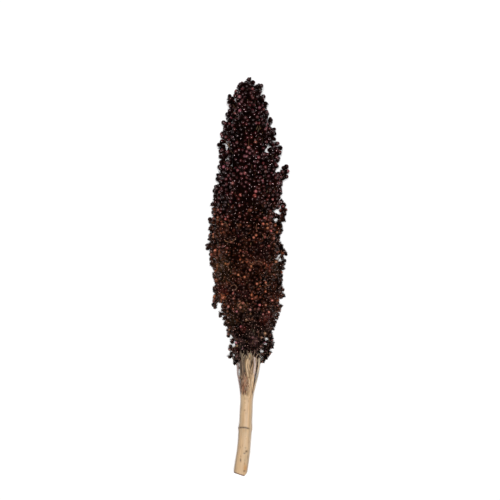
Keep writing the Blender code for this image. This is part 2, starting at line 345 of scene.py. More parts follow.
def makeInnerShadeSkin():
    # near black as painted shade for the inside of the head, with lumps a little lighter
    n = Nodes("innerHusksShade")
    place = n.add("ShaderNodeTexCoord").outputs["Object"]
    lumps = n.noise(place, 260, 5.0, 0.7)
    colour = n.mix(n.spread(lumps, 0.35, 0.7, 0.0, 1.0), (0.002, 0.0005, 0.0003, 1), (0.008, 0.0025, 0.0015, 1))
    n.join(colour, n.shader.inputs["Base Color"])
    n.join(n.spread(lumps, 0.3, 0.7, 0.65, 0.9), n.shader.inputs["Roughness"])
    n.shader.inputs["Specular IOR Level"].default_value = 0.0
    n.bump(lumps, 0.0015, 0.9)
    return n.material


def makeFloorSkin():
    n = Nodes("floorSkin")
    place = n.add("ShaderNodeTexCoord").outputs["Object"]
    soft = n.noise(place, 2.0, 3.0)
    colour = n.mix(n.spread(soft, 0.3, 0.7, 0.0, 1.0), (0.93, 0.93, 0.935, 1), (0.955, 0.955, 0.955, 1))
    n.join(colour, n.shader.inputs["Base Color"])
    n.join(n.spread(soft, 0.3, 0.7, 0.65, 0.75), n.shader.inputs["Roughness"])
    n.shader.inputs["Specular IOR Level"].default_value = 0.2
    return n.material


grainSkin = makeGrainSkin()
huskSkin = makeHuskSkin()
strawSkin = makeStrawSkin()
strandSkin = makeStrawSkin("strandSkin", 1.6, 0.35)
twigSkin = makeStrawSkin("twigSkin", 1.6, 0.08)
innerShadeSkin = makeInnerShadeSkin()
print("materials made")


# stalk

stalkLook = {
    "around": 64,
    "step": 0.5 * mm,
    "radius": [  # place along the middle line, then the radius there
        (-0.1860, 0.0061), (-0.1773, 0.0061), (-0.1543, 0.00578), (-0.1400, 0.00570), (-0.1368, 0.0058),
        (-0.1356, 0.0057), (-0.1233, 0.00545), (-0.1123, 0.0054), (-0.1060, 0.0059), (-0.0953, 0.0064),
        (-0.0793, 0.0066), (-0.0593, 0.0056), (-0.0393, 0.0042), (0.0407, 0.0028), (0.1187, 0.0017),
    ],
    # the cut end: a long slant to the right, then a short one back at the right corner
    "cuts": [((-0.0112, -0.1777, 0.0192), (0.32, 1.0, -0.09)), ((-0.0006, -0.1787, 0.0192), (-1.15, 1.0, 0.05))],
    # from the rim inwards: size of the next ring, how far it is sunk
    "pith": [(0.93, 0.0), (0.95, 0.25 * mm), (0.60, 0.15 * mm)],
    "ring": {"at": -0.1370, "lip": 0.40 * mm, "width": 1.1 * mm},
    "straw": (0.610, 0.428, 0.258),
    # painted shade darkens the left edge of the stalk and painted light brightens its right edge
    "paintedEdgeShading": {"left": (0.42, 0.315, 0.215), "right": (0.72, 0.58, 0.44)},
    # dark brown of the scars and knots, also used for the painted shade line under the leaf ring
    "dark": (0.060, 0.028, 0.012),
}
# marks on the side that faces up: column and row, half size across and along in mm, how dark
stalkMarks = [
    (246.4, 451.3, 0.85, 0.90, 1.0), (245.7, 452.2, 0.45, 0.45, 0.8), (244.6, 453.3, 0.90, 0.65, 1.0),
    (245.6, 447.8, 0.72, 0.59, 0.52), (240.4, 460.2, 0.62, 1.5, 1.0), (240.9, 456.6, 0.39, 0.65, 0.4),
    (244.9, 460.3, 0.45, 0.59, 0.4), (240.4, 447.3, 0.42, 1.04, 0.4), (245.4, 436.5, 0.33, 0.59, 0.29),
    (244.7, 410.0, 0.81, 0.81, 0.57), (245.9, 413.0, 0.52, 0.78, 0.32), (241.4, 408.0, 0.39, 2.08, 0.34),
    (244.3, 471.3, 0.85, 0.75, 0.8), (244.4, 463.8, 0.39, 1.04, 0.46), (247.6, 457.5, 0.33, 2.08, 0.52),
    (243.4, 392.6, 0.72, 2.47, 1.0), (246.0, 393.4, 0.59, 1.43, 0.86), (248.6, 394.4, 0.65, 1.04, 0.86),
    (252.3, 392.0, 0.72, 1.95, 0.98), (250.6, 395.2, 0.52, 1.3, 0.52), (240.5, 392.5, 0.65, 2.08, 1.0),
    (244.6, 397.4, 0.52, 1.17, 0.4), (247.0, 398.3, 0.45, 0.91, 0.34), (245.0, 402.4, 0.59, 0.65, 0.32),
    (248.5, 401.0, 0.45, 1.04, 0.34), (250.4, 396.5, 0.60, 1.0, 0.6), (244.8, 398.6, 0.8, 0.7, 0.4),
]


def markedAt(points, marks):
    # how dark each point is under the marks, 0 to 1
    dark = np.zeros(len(points))
    for column, row, wide, tall, strength in marks:
        apartX = (points[:, 0] - acrossAt(column)) / (wide * mm)
        apartY = (points[:, 1] - alongAt(row)) / (tall * mm)
        dark = np.maximum(dark, strength * np.exp(-(apartX**2 + apartY**2)))
    return dark


def makeStalk():
    look = stalkLook
    start, end = look["radius"][0][0], look["radius"][-1][0]
    fine = np.arange(start, -0.0853, look["step"])
    inside = np.arange(-0.0853, end, 6 * mm)
    stations = list(fine) + list(inside)
    line = smoothRow(middleLine, stations)
    early = np.array(stations) < middleLine[0][0]
    line[early, 0] += 0.13 * (np.array(stations)[early] - middleLine[0][0])
    radii = smoothRow(look["radius"], stations)[:, 0]
    stalk = growStem("stalk_straw", stations, line, radii, look["around"])
    # the end is cut twice, then gets a rim and a sunk pith
    editOnly(stalk)
    for place, slope in look["cuts"]:
        bpy.ops.mesh.select_all(action="SELECT")
        bpy.ops.mesh.bisect(plane_co=place, plane_no=slope, clear_inner=True, use_fill=True)
    bpy.ops.mesh.select_all(action="SELECT")
    bpy.ops.mesh.remove_doubles(threshold=0.05 * mm)
    bpy.ops.mesh.select_mode(type="FACE")
    bpy.ops.mesh.select_all(action="DESELECT")
    shaped = bmesh.from_edit_mesh(stalk.data)
    ends = [face for face in shaped.faces if face.calc_center_median().y < -0.17]
    widest = max(ends, key=lambda face: face.calc_area())
    widest.select_set(True)
    bmesh.update_edit_mesh(stalk.data)
    centre, inward = widest.calc_center_median(), -widest.normal
    for share, sink in look["pith"]:
        bpy.ops.mesh.extrude_region_move(TRANSFORM_OT_translate={"value": tuple(inward * sink)})
        centre = centre + inward * sink
        bpy.ops.transform.resize(value=(share, share, share), center_override=tuple(centre))
    bpy.ops.mesh.poke()
    closeEdit()
    points = meshPoints(stalk.data)
    shapeStalk(stalk.data, points)
    shadeSmooth(stalk, 50)
    stalk.data.materials.append(strawSkin)
    return stalk


def shapeStalk(mesh, points):
    # ribs, dents, the leaf ring and the tints, point by point
    look = stalkLook
    ring = look["ring"]
    y = points[:, 1]
    middle = smoothRow(middleLine, y)
    middle[:, 0] += 0.13 * np.minimum(y - middleLine[0][0], 0.0)
    across = points[:, 0] - middle[:, 0]
    up = points[:, 2] - middle[:, 1]
    reach = np.hypot(across, up)
    angle = np.arctan2(up, across)
    radius = smoothRow(look["radius"], y)[:, 0]
    skin = reach > 0.8 * radius
    out = np.zeros(len(points))
    for wave, phase, size in ((2, 0.7, 0.16), (3, 2.1, 0.10), (7, 1.3, 0.05), (11, 4.0, 0.05), (17, 0.2, 0.035)):
        out += size * mm * np.cos(wave * angle + phase + 9.0 * y * wave)
    for k, (px, py, pz) in enumerate(points):
        out[k] += 0.35 * mm * noise.noise(Vector((px * 160, py * 60, pz * 160)))
        out[k] += 0.12 * mm * noise.noise(Vector((px * 900, py * 130, pz * 900)))
    # leaf ring: a low swelling with a torn lip, its line wandering round the stalk
    wander = ring["at"] + 0.75 * mm * np.cos(angle - 2.45) - 0.30 * mm * np.sin(3 * angle - 0.4)
    apart = y - wander
    out += 0.28 * mm * np.exp(-((apart / (2.2 * mm)) ** 2))
    lip = np.where(apart < 0, np.exp(-np.abs(apart) / (1.6 * mm)), 0.0)
    out += ring["lip"] * lip * (0.55 + 0.45 * np.cos(angle - 2.9))
    # just past the ring the stalk is a little narrower
    out -= 0.25 * mm * np.exp(-(((apart - 0.8 * mm) / (0.7 * mm)) ** 2))
    top = 1 / (1 + np.exp(-up / (0.5 * mm)))
    scars = markedAt(points, stalkMarks) * top
    out -= 0.4 * mm * scars
    out = np.where(skin, out, 0.0)
    scale = (reach + out) / np.maximum(reach, 1e-6)
    scale = np.where(reach > 1e-5, scale, 1.0)
    moved = points.copy()
    moved[:, 0] = middle[:, 0] + across * scale
    moved[:, 2] = middle[:, 1] + up * scale
    setPoints(mesh, moved)

    # painted shade: a dark line just under the leaf ring's lip, strongest on the left and fading before the right side
    lipShadeFade = 1 / (1 + np.exp((across - 3.3 * mm) / (0.3 * mm)))  # the line fades before the right side
    lipShadeFade *= 1 - 0.5 * np.clip((-across - 4.6 * mm) / (1.0 * mm), 0, 1)
    line = np.exp(-(((apart - 0.25 * mm) / (0.76 * mm)) ** 2)) * np.maximum(lipShadeFade, 0.12)
    tints = np.empty((len(points), 3))
    tints[:] = look["straw"]
    # painted shading: the left edge is darkened as painted shade and the right edge lightened as painted light, as the
    # light falls from the right
    side = (np.clip((np.abs(across) / radius - 0.60) / 0.40, 0, 1) * 0.8)[:, None]
    edgeShading = np.where(across[:, None] < 0, look["paintedEdgeShading"]["left"], look["paintedEdgeShading"]["right"])
    tints = tints * (1 - side) + edgeShading * side
    warm = np.clip(np.sin(angle * 2 + y * 60), 0, 1)[:, None] * 0.14
    tints = tints * (1 - warm) + np.array((0.60, 0.35, 0.17)) * warm
    rot = np.exp(-(((points[:, 0] - acrossAt(245.3)) / 0.0017) ** 2 + ((y - alongAt(468.6)) / 0.0034) ** 2)) * 0.80
    rot = (rot * top)[:, None]
    tints = tints * (1 - rot) + np.array((0.52, 0.25, 0.075)) * rot
    # brown along the left among the branches, pale along the right
    foot = np.clip((y + 0.1030) / 0.012, 0, 1) * np.clip(0.5 - across / (5 * mm), 0.10, 0.85)
    foot = foot[:, None]
    tints = tints * (1 - foot) + np.array((0.155, 0.078, 0.045)) * foot
    # the scars are real marks; the line under the lip is painted shade
    mark = np.clip(line + scars, 0, 1)[:, None]
    tints = tints * (1 - mark) + np.array(look["dark"]) * mark
    place, slope = (np.array(row) for row in look["cuts"][0])
    rim = np.clip((1.25 * mm - (points - place) @ slope) / (0.5 * mm), 0, 1)[:, None]
    tints = tints * (1 - rim) + np.array((0.16, 0.080, 0.052)) * rim
    pith = (y < -0.1700) & (reach < 0.80 * radius)
    tints[pith] = np.array((0.52, 0.39, 0.25))
    setTint(mesh, tints)
    setVector(mesh, "strand", np.column_stack([across, y, up]))


stalkPiece = makeStalk()
print("stalk made", len(stalkPiece.data.polygons))


# branches at the head's foot

branchLook = {
    "seed": 3,
    "count": 17,
    "start": (-0.1075, -0.0900),
    "end": (-0.0600, -0.0470),
    "thick": (1.25 * mm, 0.75 * mm),
    "steps": 20,
    # reach of the branches from the middle line: place along it, then the reach
    "reach": [(-0.1123, 0.0054), (-0.1069, 0.0062), (-0.0979, 0.0076), (-0.0889, 0.0092), (-0.0799, 0.0101),
              (-0.0709, 0.0109), (-0.0600, 0.0122), (-0.0450, 0.0140)],
}
# strands on the side that faces up: tone, half width, how far they stand out, then columns and rows from foot to tip
shownStrands = [
    ("grey", 0.75, 0.0, [(253.4, 397), (254.4, 392), (256.0, 385), (257.6, 378), (258.9, 371), (259.7, 364),
                         (259.8, 359), (259.2, 354), (258.6, 348)]),
    ("light grey", 0.70, 0.2, [(252.9, 396), (253.8, 391), (255.2, 384.5), (256.8, 378), (258.0, 371.5), (258.8, 365),
                               (258.9, 359), (258.4, 353), (257.8, 347)]),
    ("straw", 0.80, 0.3, [(251.2, 400), (251.7, 392), (252.3, 386), (253.2, 380), (254.2, 374), (255.2, 368), (256.0, 361),
                          (256.2, 354), (256, 344)]),
    ("pale straw", 0.75, 0.5, [(249.6, 399), (250.2, 392), (251.0, 386), (252.0, 380), (252.7, 376), (253.6, 371),
                               (254.2, 366)]),
    ("pink", 1.15, 0.9, [(253.8, 377.5), (254.3, 373), (254.8, 368), (255.2, 362), (255.3, 356), (255.2, 350), (255.3, 344)]),
    ("light pink", 0.50, 1.2, [(253.6, 373), (254.0, 368.5), (254.2, 363.5), (254.1, 358), (254.3, 352)]),
    ("brown", 0.50, 0.5, [(251.8, 374.5), (252.4, 370.5), (253.0, 366), (252.9, 361), (252.5, 355), (252.6, 347)]),
    ("dark", 0.45, 0.3, [(250.8, 373.2), (251.0, 369), (250.6, 365), (251.1, 361), (251.4, 356), (251.6, 349)]),
    ("tan", 0.62, 0.7, [(250.2, 381), (249.9, 376), (249.2, 371), (249.5, 367), (250.3, 363), (250.6, 358), (250.3, 352),
                        (250.6, 344)]),
    ("straw", 0.55, 1.0, [(252.2, 379), (251.4, 374.5), (250.1, 370), (248.6, 366.5), (248.1, 362.5), (248.6, 358.5),
                          (249.6, 355.5), (250.6, 352.5), (251.3, 348)]),
    ("pale straw", 0.62, 1.1, [(249.6, 384), (249.4, 379), (248.2, 374), (247.2, 369), (246.8, 364), (247.3, 359.5),
                               (248.4, 356.5), (249.0, 352.5), (249.4, 347)]),
    ("straw", 0.70, 0.4, [(250.2, 394), (250.1, 388), (249.2, 382), (248.0, 377), (247.0, 372), (246.2, 366), (246.4, 360),
                          (247.0, 354), (247.6, 345)]),
    ("olive", 0.55, 0.6, [(247.4, 377), (246.6, 373), (245.6, 369.5), (245.0, 365), (245.2, 360), (246.0, 355), (246.2, 347)]),
    ("grey brown", 0.55, 0.4, [(246.4, 381), (245.6, 376), (244.8, 371.5), (244.4, 367), (244.2, 362), (244.6, 356), (245, 347)]),
    ("pale", 0.42, 1.5, [(241.2, 360.0), (241.8, 357.2), (242.8, 354.2), (243.9, 351.2), (244.6, 348.2), (244.4, 345)]),
    ("pale", 0.38, 1.6, [(242.2, 361.0), (243.0, 358), (244.3, 355.4), (245.3, 352.2), (245.4, 348), (244.8, 345.5)]),
    ("pale", 0.36, 1.6, [(247.6, 358.5), (248.2, 355.5), (249.4, 352.8), (249.9, 349.5), (249.4, 346.5)]),
    ("pale", 0.34, 1.6, [(252.2, 357.5), (251.4, 354), (251.0, 350.5), (250.4, 347.5)]),
    ("grey brown", 0.70, 0.3, [(243.8, 386), (243.3, 379), (243.4, 373), (243.2, 366), (242.6, 359), (242.4, 349)]),
    ("light brown", 0.45, 0.6, [(243.0, 380), (242.5, 375), (242.7, 370), (242.2, 365), (241.7, 359), (241.6, 350)]),
    ("dark", 0.60, 0.0, [(242.2, 388), (241.9, 380), (241.5, 373), (241.2, 366), (241.0, 358), (240.8, 348)]),
    ("grey brown", 0.55, 0.1, [(241.6, 391), (241.0, 384), (240.7, 377), (240.4, 370), (240.2, 363), (240.0, 355), (240, 347)]),
    ("plum", 0.60, 0.4, [(240.8, 396), (240.3, 390), (239.6, 384.5), (238.9, 380), (238.0, 375.5), (237.4, 371), (237.3, 366),
                         (237.8, 361), (238.4, 354)]),
    ("plum", 0.34, 0.2, [(240.9, 386), (239.8, 382.5), (238.3, 378.5), (237.9, 374), (238.3, 369), (238.8, 364), (239.2, 357)]),
    ("straw", 0.90, 0.0, [(247.6, 401), (248.6, 394), (249.4, 387), (249.9, 381), (250.0, 375)]),
    ("tan", 0.75, 0.0, [(246.6, 399), (247.4, 392), (248.0, 385), (248.2, 379), (248.6, 373)]),
    ("rust", 0.80, 0.1, [(245.2, 396), (245.6, 390), (246.0, 384), (246.4, 379), (246.6, 373)]),
    ("light rust", 0.65, 0.2, [(243.8, 394), (244.4, 388), (244.6, 382), (245.0, 377.5), (245.2, 372)]),
    ("rust", 0.70, 0.0, [(242.4, 397), (242.9, 391), (243.2, 385), (243.8, 378.5), (244.2, 372)]),
    ("dark rust", 0.45, 0.2, [(241.6, 394), (241.8, 388), (242.2, 382), (242.6, 377)]),
    ("dark", 0.42, 0.25, [(252.4, 395), (253.0, 389), (253.9, 383), (255.0, 377), (256.2, 371), (257.2, 365), (257.6, 358),
                          (257.5, 350)]),
    ("brown", 0.45, 0.1, [(256.9, 368), (257.6, 362), (257.7, 355), (257.4, 346)]),
    ("twig", 0.34, 3.6, [(247.0, 361), (246.2, 356.5), (244.6, 352.5), (243.2, 348.5), (242.6, 345)]),
    ("twig", 0.30, 4.4, [(249.0, 360), (248.6, 355.5), (247.4, 351.5), (246.8, 347)]),
    ("twig", 0.34, 4.0, [(251.0, 361), (251.4, 356.5), (250.6, 352), (251.0, 347)]),
    ("twig", 0.30, 4.6, [(252.6, 360), (253.4, 355), (254.6, 351), (255.0, 346.5)]),
    ("twig", 0.36, 4.0, [(255.0, 361), (256.2, 356.5), (257.8, 352.5), (258.6, 348)]),
    ("twig", 0.30, 3.2, [(244.8, 362), (243.4, 358.2), (241.6, 355), (240.6, 351.2)]),
    ("twig", 0.32, 3.4, [(256.6, 362), (258.2, 358), (259.8, 354.5)]),
]
# the dark strands lie in the grooves between the others as painted shade
strandTones = {
    "grey": (0.36, 0.30, 0.22), "light grey": (0.56, 0.47, 0.36), "straw": (0.58, 0.41, 0.25),
    "pale straw": (0.68, 0.50, 0.33), "pink": (0.47, 0.36, 0.32), "light pink": (0.66, 0.54, 0.50),
    "brown": (0.17, 0.095, 0.052), "light brown": (0.13, 0.090, 0.062), "tan": (0.33, 0.22, 0.125),
    "olive": (0.15, 0.100, 0.055), "pale": (0.36, 0.29, 0.20), "grey brown": (0.115, 0.080, 0.058),
    "dark": (0.045, 0.024, 0.015), "plum": (0.25, 0.180, 0.180), "rust": (0.30, 0.135, 0.075),
    "light rust": (0.42, 0.23, 0.145), "dark rust": (0.10, 0.038, 0.020), "twig": (0.20, 0.150, 0.110),
}
# knots and pits among the strands, given as the marks on the stalk are
strandMarks = [
    (251.0, 372.4, 0.80, 0.75, 0.95), (245.0, 376.0, 0.70, 0.80, 0.80), (248.6, 376.6, 0.90, 0.55, 0.85),
    (244.2, 373.4, 0.60, 0.50, 0.60), (243.0, 383.0, 0.50, 0.80, 0.75), (246.4, 381.0, 0.45, 0.70, 0.70),
    (244.8, 387.2, 0.45, 1.0, 0.70), (242.0, 378.6, 0.50, 0.80, 0.60), (247.8, 370.6, 0.45, 0.60, 0.50),
    (243.4, 392.6, 0.55, 1.9, 1.0), (246.4, 392.8, 0.45, 1.1, 0.55), (250.6, 361.2, 0.50, 0.90, 0.60),
    (248.9, 363.6, 0.40, 0.80, 0.55), (246.6, 386.0, 0.35, 0.80, 0.50), (241.0, 371.5, 0.50, 1.2, 0.50),
    (252.3, 392.0, 0.55, 1.5, 0.85), (247.4, 366.0, 0.35, 0.90, 0.45), (253.0, 357.6, 0.60, 0.60, 0.60),
]
fibreLook = {
    "seed": 12, "count": 130, "thick": 0.20 * mm,
    "tones": [(0.30, 0.125, 0.062), (0.36, 0.17, 0.10), (0.52, 0.34, 0.23), (0.12, 0.045, 0.022), (0.58, 0.42, 0.30)],
}


def makeStems(name, lines, sides=2):
    # each line is a list of (point, radius); all become one mesh of round stems
    data = bpy.data.curves.new(name, "CURVE")
    data.dimensions = "3D"
    data.bevel_depth = 1.0
    data.bevel_resolution = sides
    data.use_fill_caps = True
    for line in lines:
        spline = data.splines.new("POLY")
        spline.points.add(len(line) - 1)
        for spot, (where, radius) in zip(spline.points, line):
            spot.co = (where[0], where[1], max(where[2], radius + 0.1 * mm), 1.0)
            spot.radius = radius
    stems = bpy.data.objects.new(name, data)
    bpy.context.scene.collection.objects.link(stems)
    deselectAll()
    stems.select_set(True)
    bpy.context.view_layer.objects.active = stems
    bpy.ops.object.convert(target="MESH")
    stems = bpy.context.object
    editOnly(stems)
    bpy.ops.mesh.select_all(action="SELECT")
    bpy.ops.mesh.remove_doubles(threshold=0.001 * mm)
    bpy.ops.mesh.normals_make_consistent(inside=False)
    closeEdit()
    return stems


def branchTint(angle, draw):
    # the strands on the left are dark and purplish, those on the right are pale straw
    turn = math.degrees(angle) % 360
    tones = ["straw", "grey", "tan", "brown"]
    if 100 < turn < 215:
        tones = ["plum", "grey brown", "brown", "dark"]
    elif turn >= 215:
        tones = ["straw", "tan", "brown", "grey brown"]
    return np.array(strandTones[draw.choice(tones)]) * draw.uniform(0.8, 1.15)


def reachAt(y):
    return float(smoothRow(branchLook["reach"], y)[0][0])


def paintStems(stems, lines, tints, scatter=0.35, marks=(), skin=strandSkin):
    # each stem takes its own tint, a little darker and lighter along it
    near = KDTree(sum(len(line) for line in lines))
    for k, line in enumerate(lines):
        for step, (where, _) in enumerate(line):
            near.insert(where, k * 1000 + step)
    near.balance()
    points = meshPoints(stems.data)
    colours = np.empty((len(points), 3))
    strand = np.empty((len(points), 3))
    for i, point in enumerate(points):
        _, code, _ = near.find(Vector(point))
        k, step = divmod(code, 1000)
        tint = tints[k]
        if isinstance(tint, list):
            tint = tint[step]
        dark = 1 + scatter * noise.noise(Vector((point[0] * 400, point[1] * 60, point[2] * 400 + k)))
        colours[i] = np.asarray(tint) * dark
        strand[i] = (point[0] + 0.01 * k, point[1], point[2])
    if marks:
        height = points[:, 2] - smoothRow(middleLine, points[:, 1])[:, 1]
        dark = (markedAt(points, marks) * (height > 0))[:, None]
        colours = colours * (1 - dark) + np.array(stalkLook["dark"]) * dark
    setTint(stems.data, colours)
    setVector(stems.data, "strand", strand)
    shadeSmooth(stems)
    stems.data.materials.append(skin)


def shownStrandLine(row, draw):
    # lays one named strand on the bundle, smoothed through its columns and rows
    tone, half, lift, spots = row
    k = np.linspace(0, len(spots) - 1, 6 * len(spots))
    placed = smoothRow([(i, *spot) for i, spot in enumerate(spots)], k)
    line = []
    for step, (column, rowAt) in enumerate(placed):
        t = step / (len(placed) - 1)
        y = alongAt(rowAt)
        middle = middleAt(y)
        radius = half * 0.9 * mm * (0.35 + 0.65 * min(1.0, t / 0.25)) * (1.0 - 0.25 * max(0.0, t - 0.6) / 0.4)
        radius *= 1 + 0.12 * noise.noise(Vector((column * 3, rowAt * 0.4, half * 9)))
        sink = 1.0 - 1.4 * max(0.0, t - 0.6) if lift > 2 else 1.0  # the tips of twigs go in among the grains
        reach = reachAt(y) - radius * 0.85 + lift * sink * mm - 1.3 * mm * math.exp(-t / 0.10)
        side = (acrossAt(column) - middle.x) / max(reach, 1e-6)
        side = max(-0.995, min(0.995, side))
        line.append((Vector((middle.x + reach * side, y, middle.z + reach * math.sqrt(1 - side * side))), radius))
    return line, np.array(strandTones[tone]) * draw.uniform(0.92, 1.08)


def makeBranches():
    look = branchLook
    draw = random.Random(look["seed"])
    straw = np.array(stalkLook["straw"])
    lines, tints = [], []
    for row in shownStrands:
        line, tint = shownStrandLine(row, draw)
        lines.append(line)
        tints.append(tint)
    for k in range(look["count"]):
        share = (k * 0.618034) % 1.0
        # round the sides and underneath, from just below the right edge to just below the left one
        angle = math.radians(228 + 104 * (k + draw.uniform(0.2, 0.8)) / look["count"])
        start = look["start"][0] + share * (look["start"][1] - look["start"][0])
        end = look["end"][0] + draw.random() * (look["end"][1] - look["end"][0])
        twist = draw.uniform(-0.14, 0.14)
        thick = draw.uniform(0.75, 1.2)
        inner = draw.choice((0.0, 0.0, 0.9)) * mm
        tint = branchTint(angle, draw)
        line, colours = [], []
        for step in range(look["steps"]):
            t = step / (look["steps"] - 1)
            y = start + t * (end - start)
            middle = middleAt(y)
            swell = 1.0 + 0.35 * math.exp(-(((t - 0.16) / 0.10) ** 2))
            radius = thick * swell * (look["thick"][0] + t * (look["thick"][1] - look["thick"][0]))
            radius *= min(1.0, 0.25 + t / 0.14)
            away = reachAt(y) - radius * 0.9 - inner - 1.6 * mm * math.exp(-t / 0.09)
            turn = angle + twist * t + 0.6 * mm * noise.noise(Vector((k * 5.3, y * 70, 7.3))) / away
            where = middle + Vector((math.cos(turn), 0, math.sin(turn))) * away
            line.append((where, radius))
            blend = min(1.0, t / 0.22)
            colours.append(straw * (1 - blend) * 0.92 + tint * blend)
        lines.append(line)
        tints.append(colours)
    stems = makeStems("foot_branches", lines, 2)
    paintStems(stems, lines, tints, 0.7, strandMarks)
    return stems


def makeFibres():
    # torn reddish fibres on the upper left of the stalk, just under the branches
    look = fibreLook
    draw = random.Random(look["seed"])
    lines, tints = [], []
    for k in range(look["count"]):
        column, row = draw.gauss(244.6, 1.9), draw.uniform(374.5, 389.5)
        length, lean = draw.uniform(2.5, 6.5) * mm, draw.gauss(0.05, 0.22)
        lift = draw.uniform(0.0, 0.8) * mm
        line = []
        for step in range(6):
            t = step / 5
            y = alongAt(row) + (t - 0.5) * length
            x = acrossAt(column) + lean * (t - 0.5) * length + 0.3 * mm * math.sin(t * 4 + k)
            middle = middleAt(y)
            reach = reachAt(y) - 0.35 * mm + lift * math.sin(math.pi * t)
            side = max(-0.97, min(0.97, (x - middle.x) / reach))
            z = middle.z + reach * math.sqrt(1 - side * side)
            line.append((Vector((middle.x + reach * side, y, z)), look["thick"] * (0.45 + math.sin(math.pi * t))))
        lines.append(line)
        red = np.array(draw.choice(look["tones"]))
        tints.append(red * draw.uniform(0.5, 1.2))
    stems = makeStems("torn_fibres", lines, 0)
    paintStems(stems, lines, tints)
    return stems


branchPiece = makeBranches()
fibrePiece = makeFibres()
print("branches and fibres made", len(branchPiece.data.polygons), len(fibrePiece.data.polygons))


# patterns of one grain in its husk

def makeGrainPattern(name, opened=0.0, withHusk=True):
    # a plump grain, one unit in radius, its tip towards +Z
    deselectAll()
    bpy.ops.mesh.primitive_uv_sphere_add(segments=8, ring_count=5, radius=1.0)
    grain = bpy.context.object
    grain.name = name
    editOnly(grain)
    bpy.ops.mesh.select_all(action="SELECT")
    bpy.ops.transform.resize(value=(1.0, 0.86, 1.06))
    pick(grain, lambda co: co.z > 0.9)
    bpy.ops.transform.translate(value=(0, 0, -0.05))
    pick(grain, lambda co: co.z < -0.9)
    bpy.ops.transform.translate(value=(0, 0, -0.12))
    closeEdit()
    setNumber(grain.data, "husk", np.zeros(len(grain.data.vertices)))
    # painted shade darkens the grain towards its foot and a painted highlight brightens its tip
    shade = np.interp(meshPoints(grain.data)[:, 2], [-1.1, 0.15, 0.7, 1.02], [0.02, 0.22, 0.80, 1.8])
    setNumber(grain.data, "shade", shade)
    grain.data.materials.append(grainSkin)
    grain.data.materials.append(huskSkin)
    parts = [grain]
    if withHusk:
        parts.append(makeHuskCup(opened))
    parts.append(makeFootStem())
    deselectAll()
    for part in parts:
        part.select_set(True)
    bpy.context.view_layer.objects.active = grain
    bpy.ops.object.join()
    for face in grain.data.polygons:
        face.use_smooth = True
    return grain


def makeHuskCup(opened):
    # the cup of two pointed husks that holds the grain
    deselectAll()
    bpy.ops.mesh.primitive_uv_sphere_add(segments=8, ring_count=6, radius=1.12)
    cup = bpy.context.object
    editOnly(cup)
    bpy.ops.mesh.select_all(action="SELECT")
    bpy.ops.transform.resize(value=(1.0, 0.88, 1.05))
    pick(cup, lambda co: co.z > 0.1)
    bpy.ops.mesh.delete(type="VERT")
    # the rim rises to a point on two sides and dips between
    pick(cup, lambda co: co.z > -0.1 and abs(co.x) > 1.0)
    bpy.ops.transform.translate(value=(0, 0, 0.55 + 0.25 * opened))
    pick(cup, lambda co: co.z > -0.1 and abs(co.x) < 0.2)
    bpy.ops.transform.translate(value=(0, 0, -0.38))
    pick(cup, lambda co: co.z > 0.3)
    narrow = 0.86 + 0.5 * opened
    bpy.ops.transform.resize(value=(narrow, 0.5, 1.0), center_override=(0, 0, 0))
    # the rim turns in under the grain, and the cup is closed there
    bpy.ops.mesh.select_all(action="DESELECT")
    bpy.ops.mesh.select_mode(type="EDGE")
    bpy.ops.mesh.select_non_manifold()
    bpy.ops.mesh.extrude_region_move(TRANSFORM_OT_translate={"value": (0, 0, -0.12)})
    bpy.ops.transform.resize(value=(0.72 if opened < 0.5 else 0.8, 0.72, 1.0), center_override=(0, 0, 0))
    bpy.ops.mesh.edge_face_add()
    bpy.ops.mesh.select_all(action="SELECT")
    bpy.ops.mesh.normals_make_consistent(inside=False)
    closeEdit()
    cup.data.materials.append(grainSkin)
    cup.data.materials.append(huskSkin)
    for face in cup.data.polygons:
        face.material_index = 1
    setNumber(cup.data, "husk", np.ones(len(cup.data.vertices)))
    # painted shade, darker towards the foot of the cup and lighter at its rim
    shade = np.interp(meshPoints(cup.data)[:, 2], [-1.1, -0.5, 0.8], [0.5, 0.8, 1.25])
    setNumber(cup.data, "shade", shade)
    return cup


def makeFootStem():
    # the short stem under one grain, with a slight bend
    deselectAll()
    bpy.ops.mesh.primitive_cone_add(
        vertices=3, radius1=0.12, radius2=0.24, depth=1.5, end_fill_type="NGON", location=(0.08, 0, -1.7),
    )
    stem = bpy.context.object
    applyPlace(stem)
    editOnly(stem)
    pick(stem, lambda co: co.z < -2.2)
    bpy.ops.transform.translate(value=(0.22, 0.05, 0))
    closeEdit()
    stem.data.materials.append(grainSkin)
    stem.data.materials.append(huskSkin)
    for face in stem.data.polygons:
        face.material_index = 1
    setNumber(stem.data, "husk", np.ones(len(stem.data.vertices)))
    setNumber(stem.data, "shade", np.full(len(stem.data.vertices), 0.8))
    return stem


def makeBarrenHusk():
    # a narrow empty spikelet: two scales closed to a point, on a thin stem
    deselectAll()
    bpy.ops.mesh.primitive_cylinder_add(vertices=5, radius=0.12, depth=0.5, location=(0, 0, -0.25))
    husk = bpy.context.object
    husk.name = "barrenHusk"
    applyPlace(husk)
    editOnly(husk)
    pick(husk, lambda co: co.z > -0.05)
    for rise, share in ((0.45, 3.0), (0.75, 0.9), (0.9, 0.12)):
        bpy.ops.mesh.extrude_region_move(TRANSFORM_OT_translate={"value": (0.04, 0, rise)})
        bpy.ops.transform.resize(value=(share, share * 0.8 if share > 1 else share, 1))
    closeEdit()
    husk.data.materials.append(grainSkin)
    husk.data.materials.append(huskSkin)
    for face in husk.data.polygons:
        face.material_index = 1
        face.use_smooth = True
    setNumber(husk.data, "husk", np.ones(len(husk.data.vertices)))
    # painted shade towards the foot of the husk and painted light towards its tip
    setNumber(husk.data, "shade", np.interp(meshPoints(husk.data)[:, 2], [-0.5, 0.4, 2.2], [0.6, 0.9, 1.2]))
    return husk


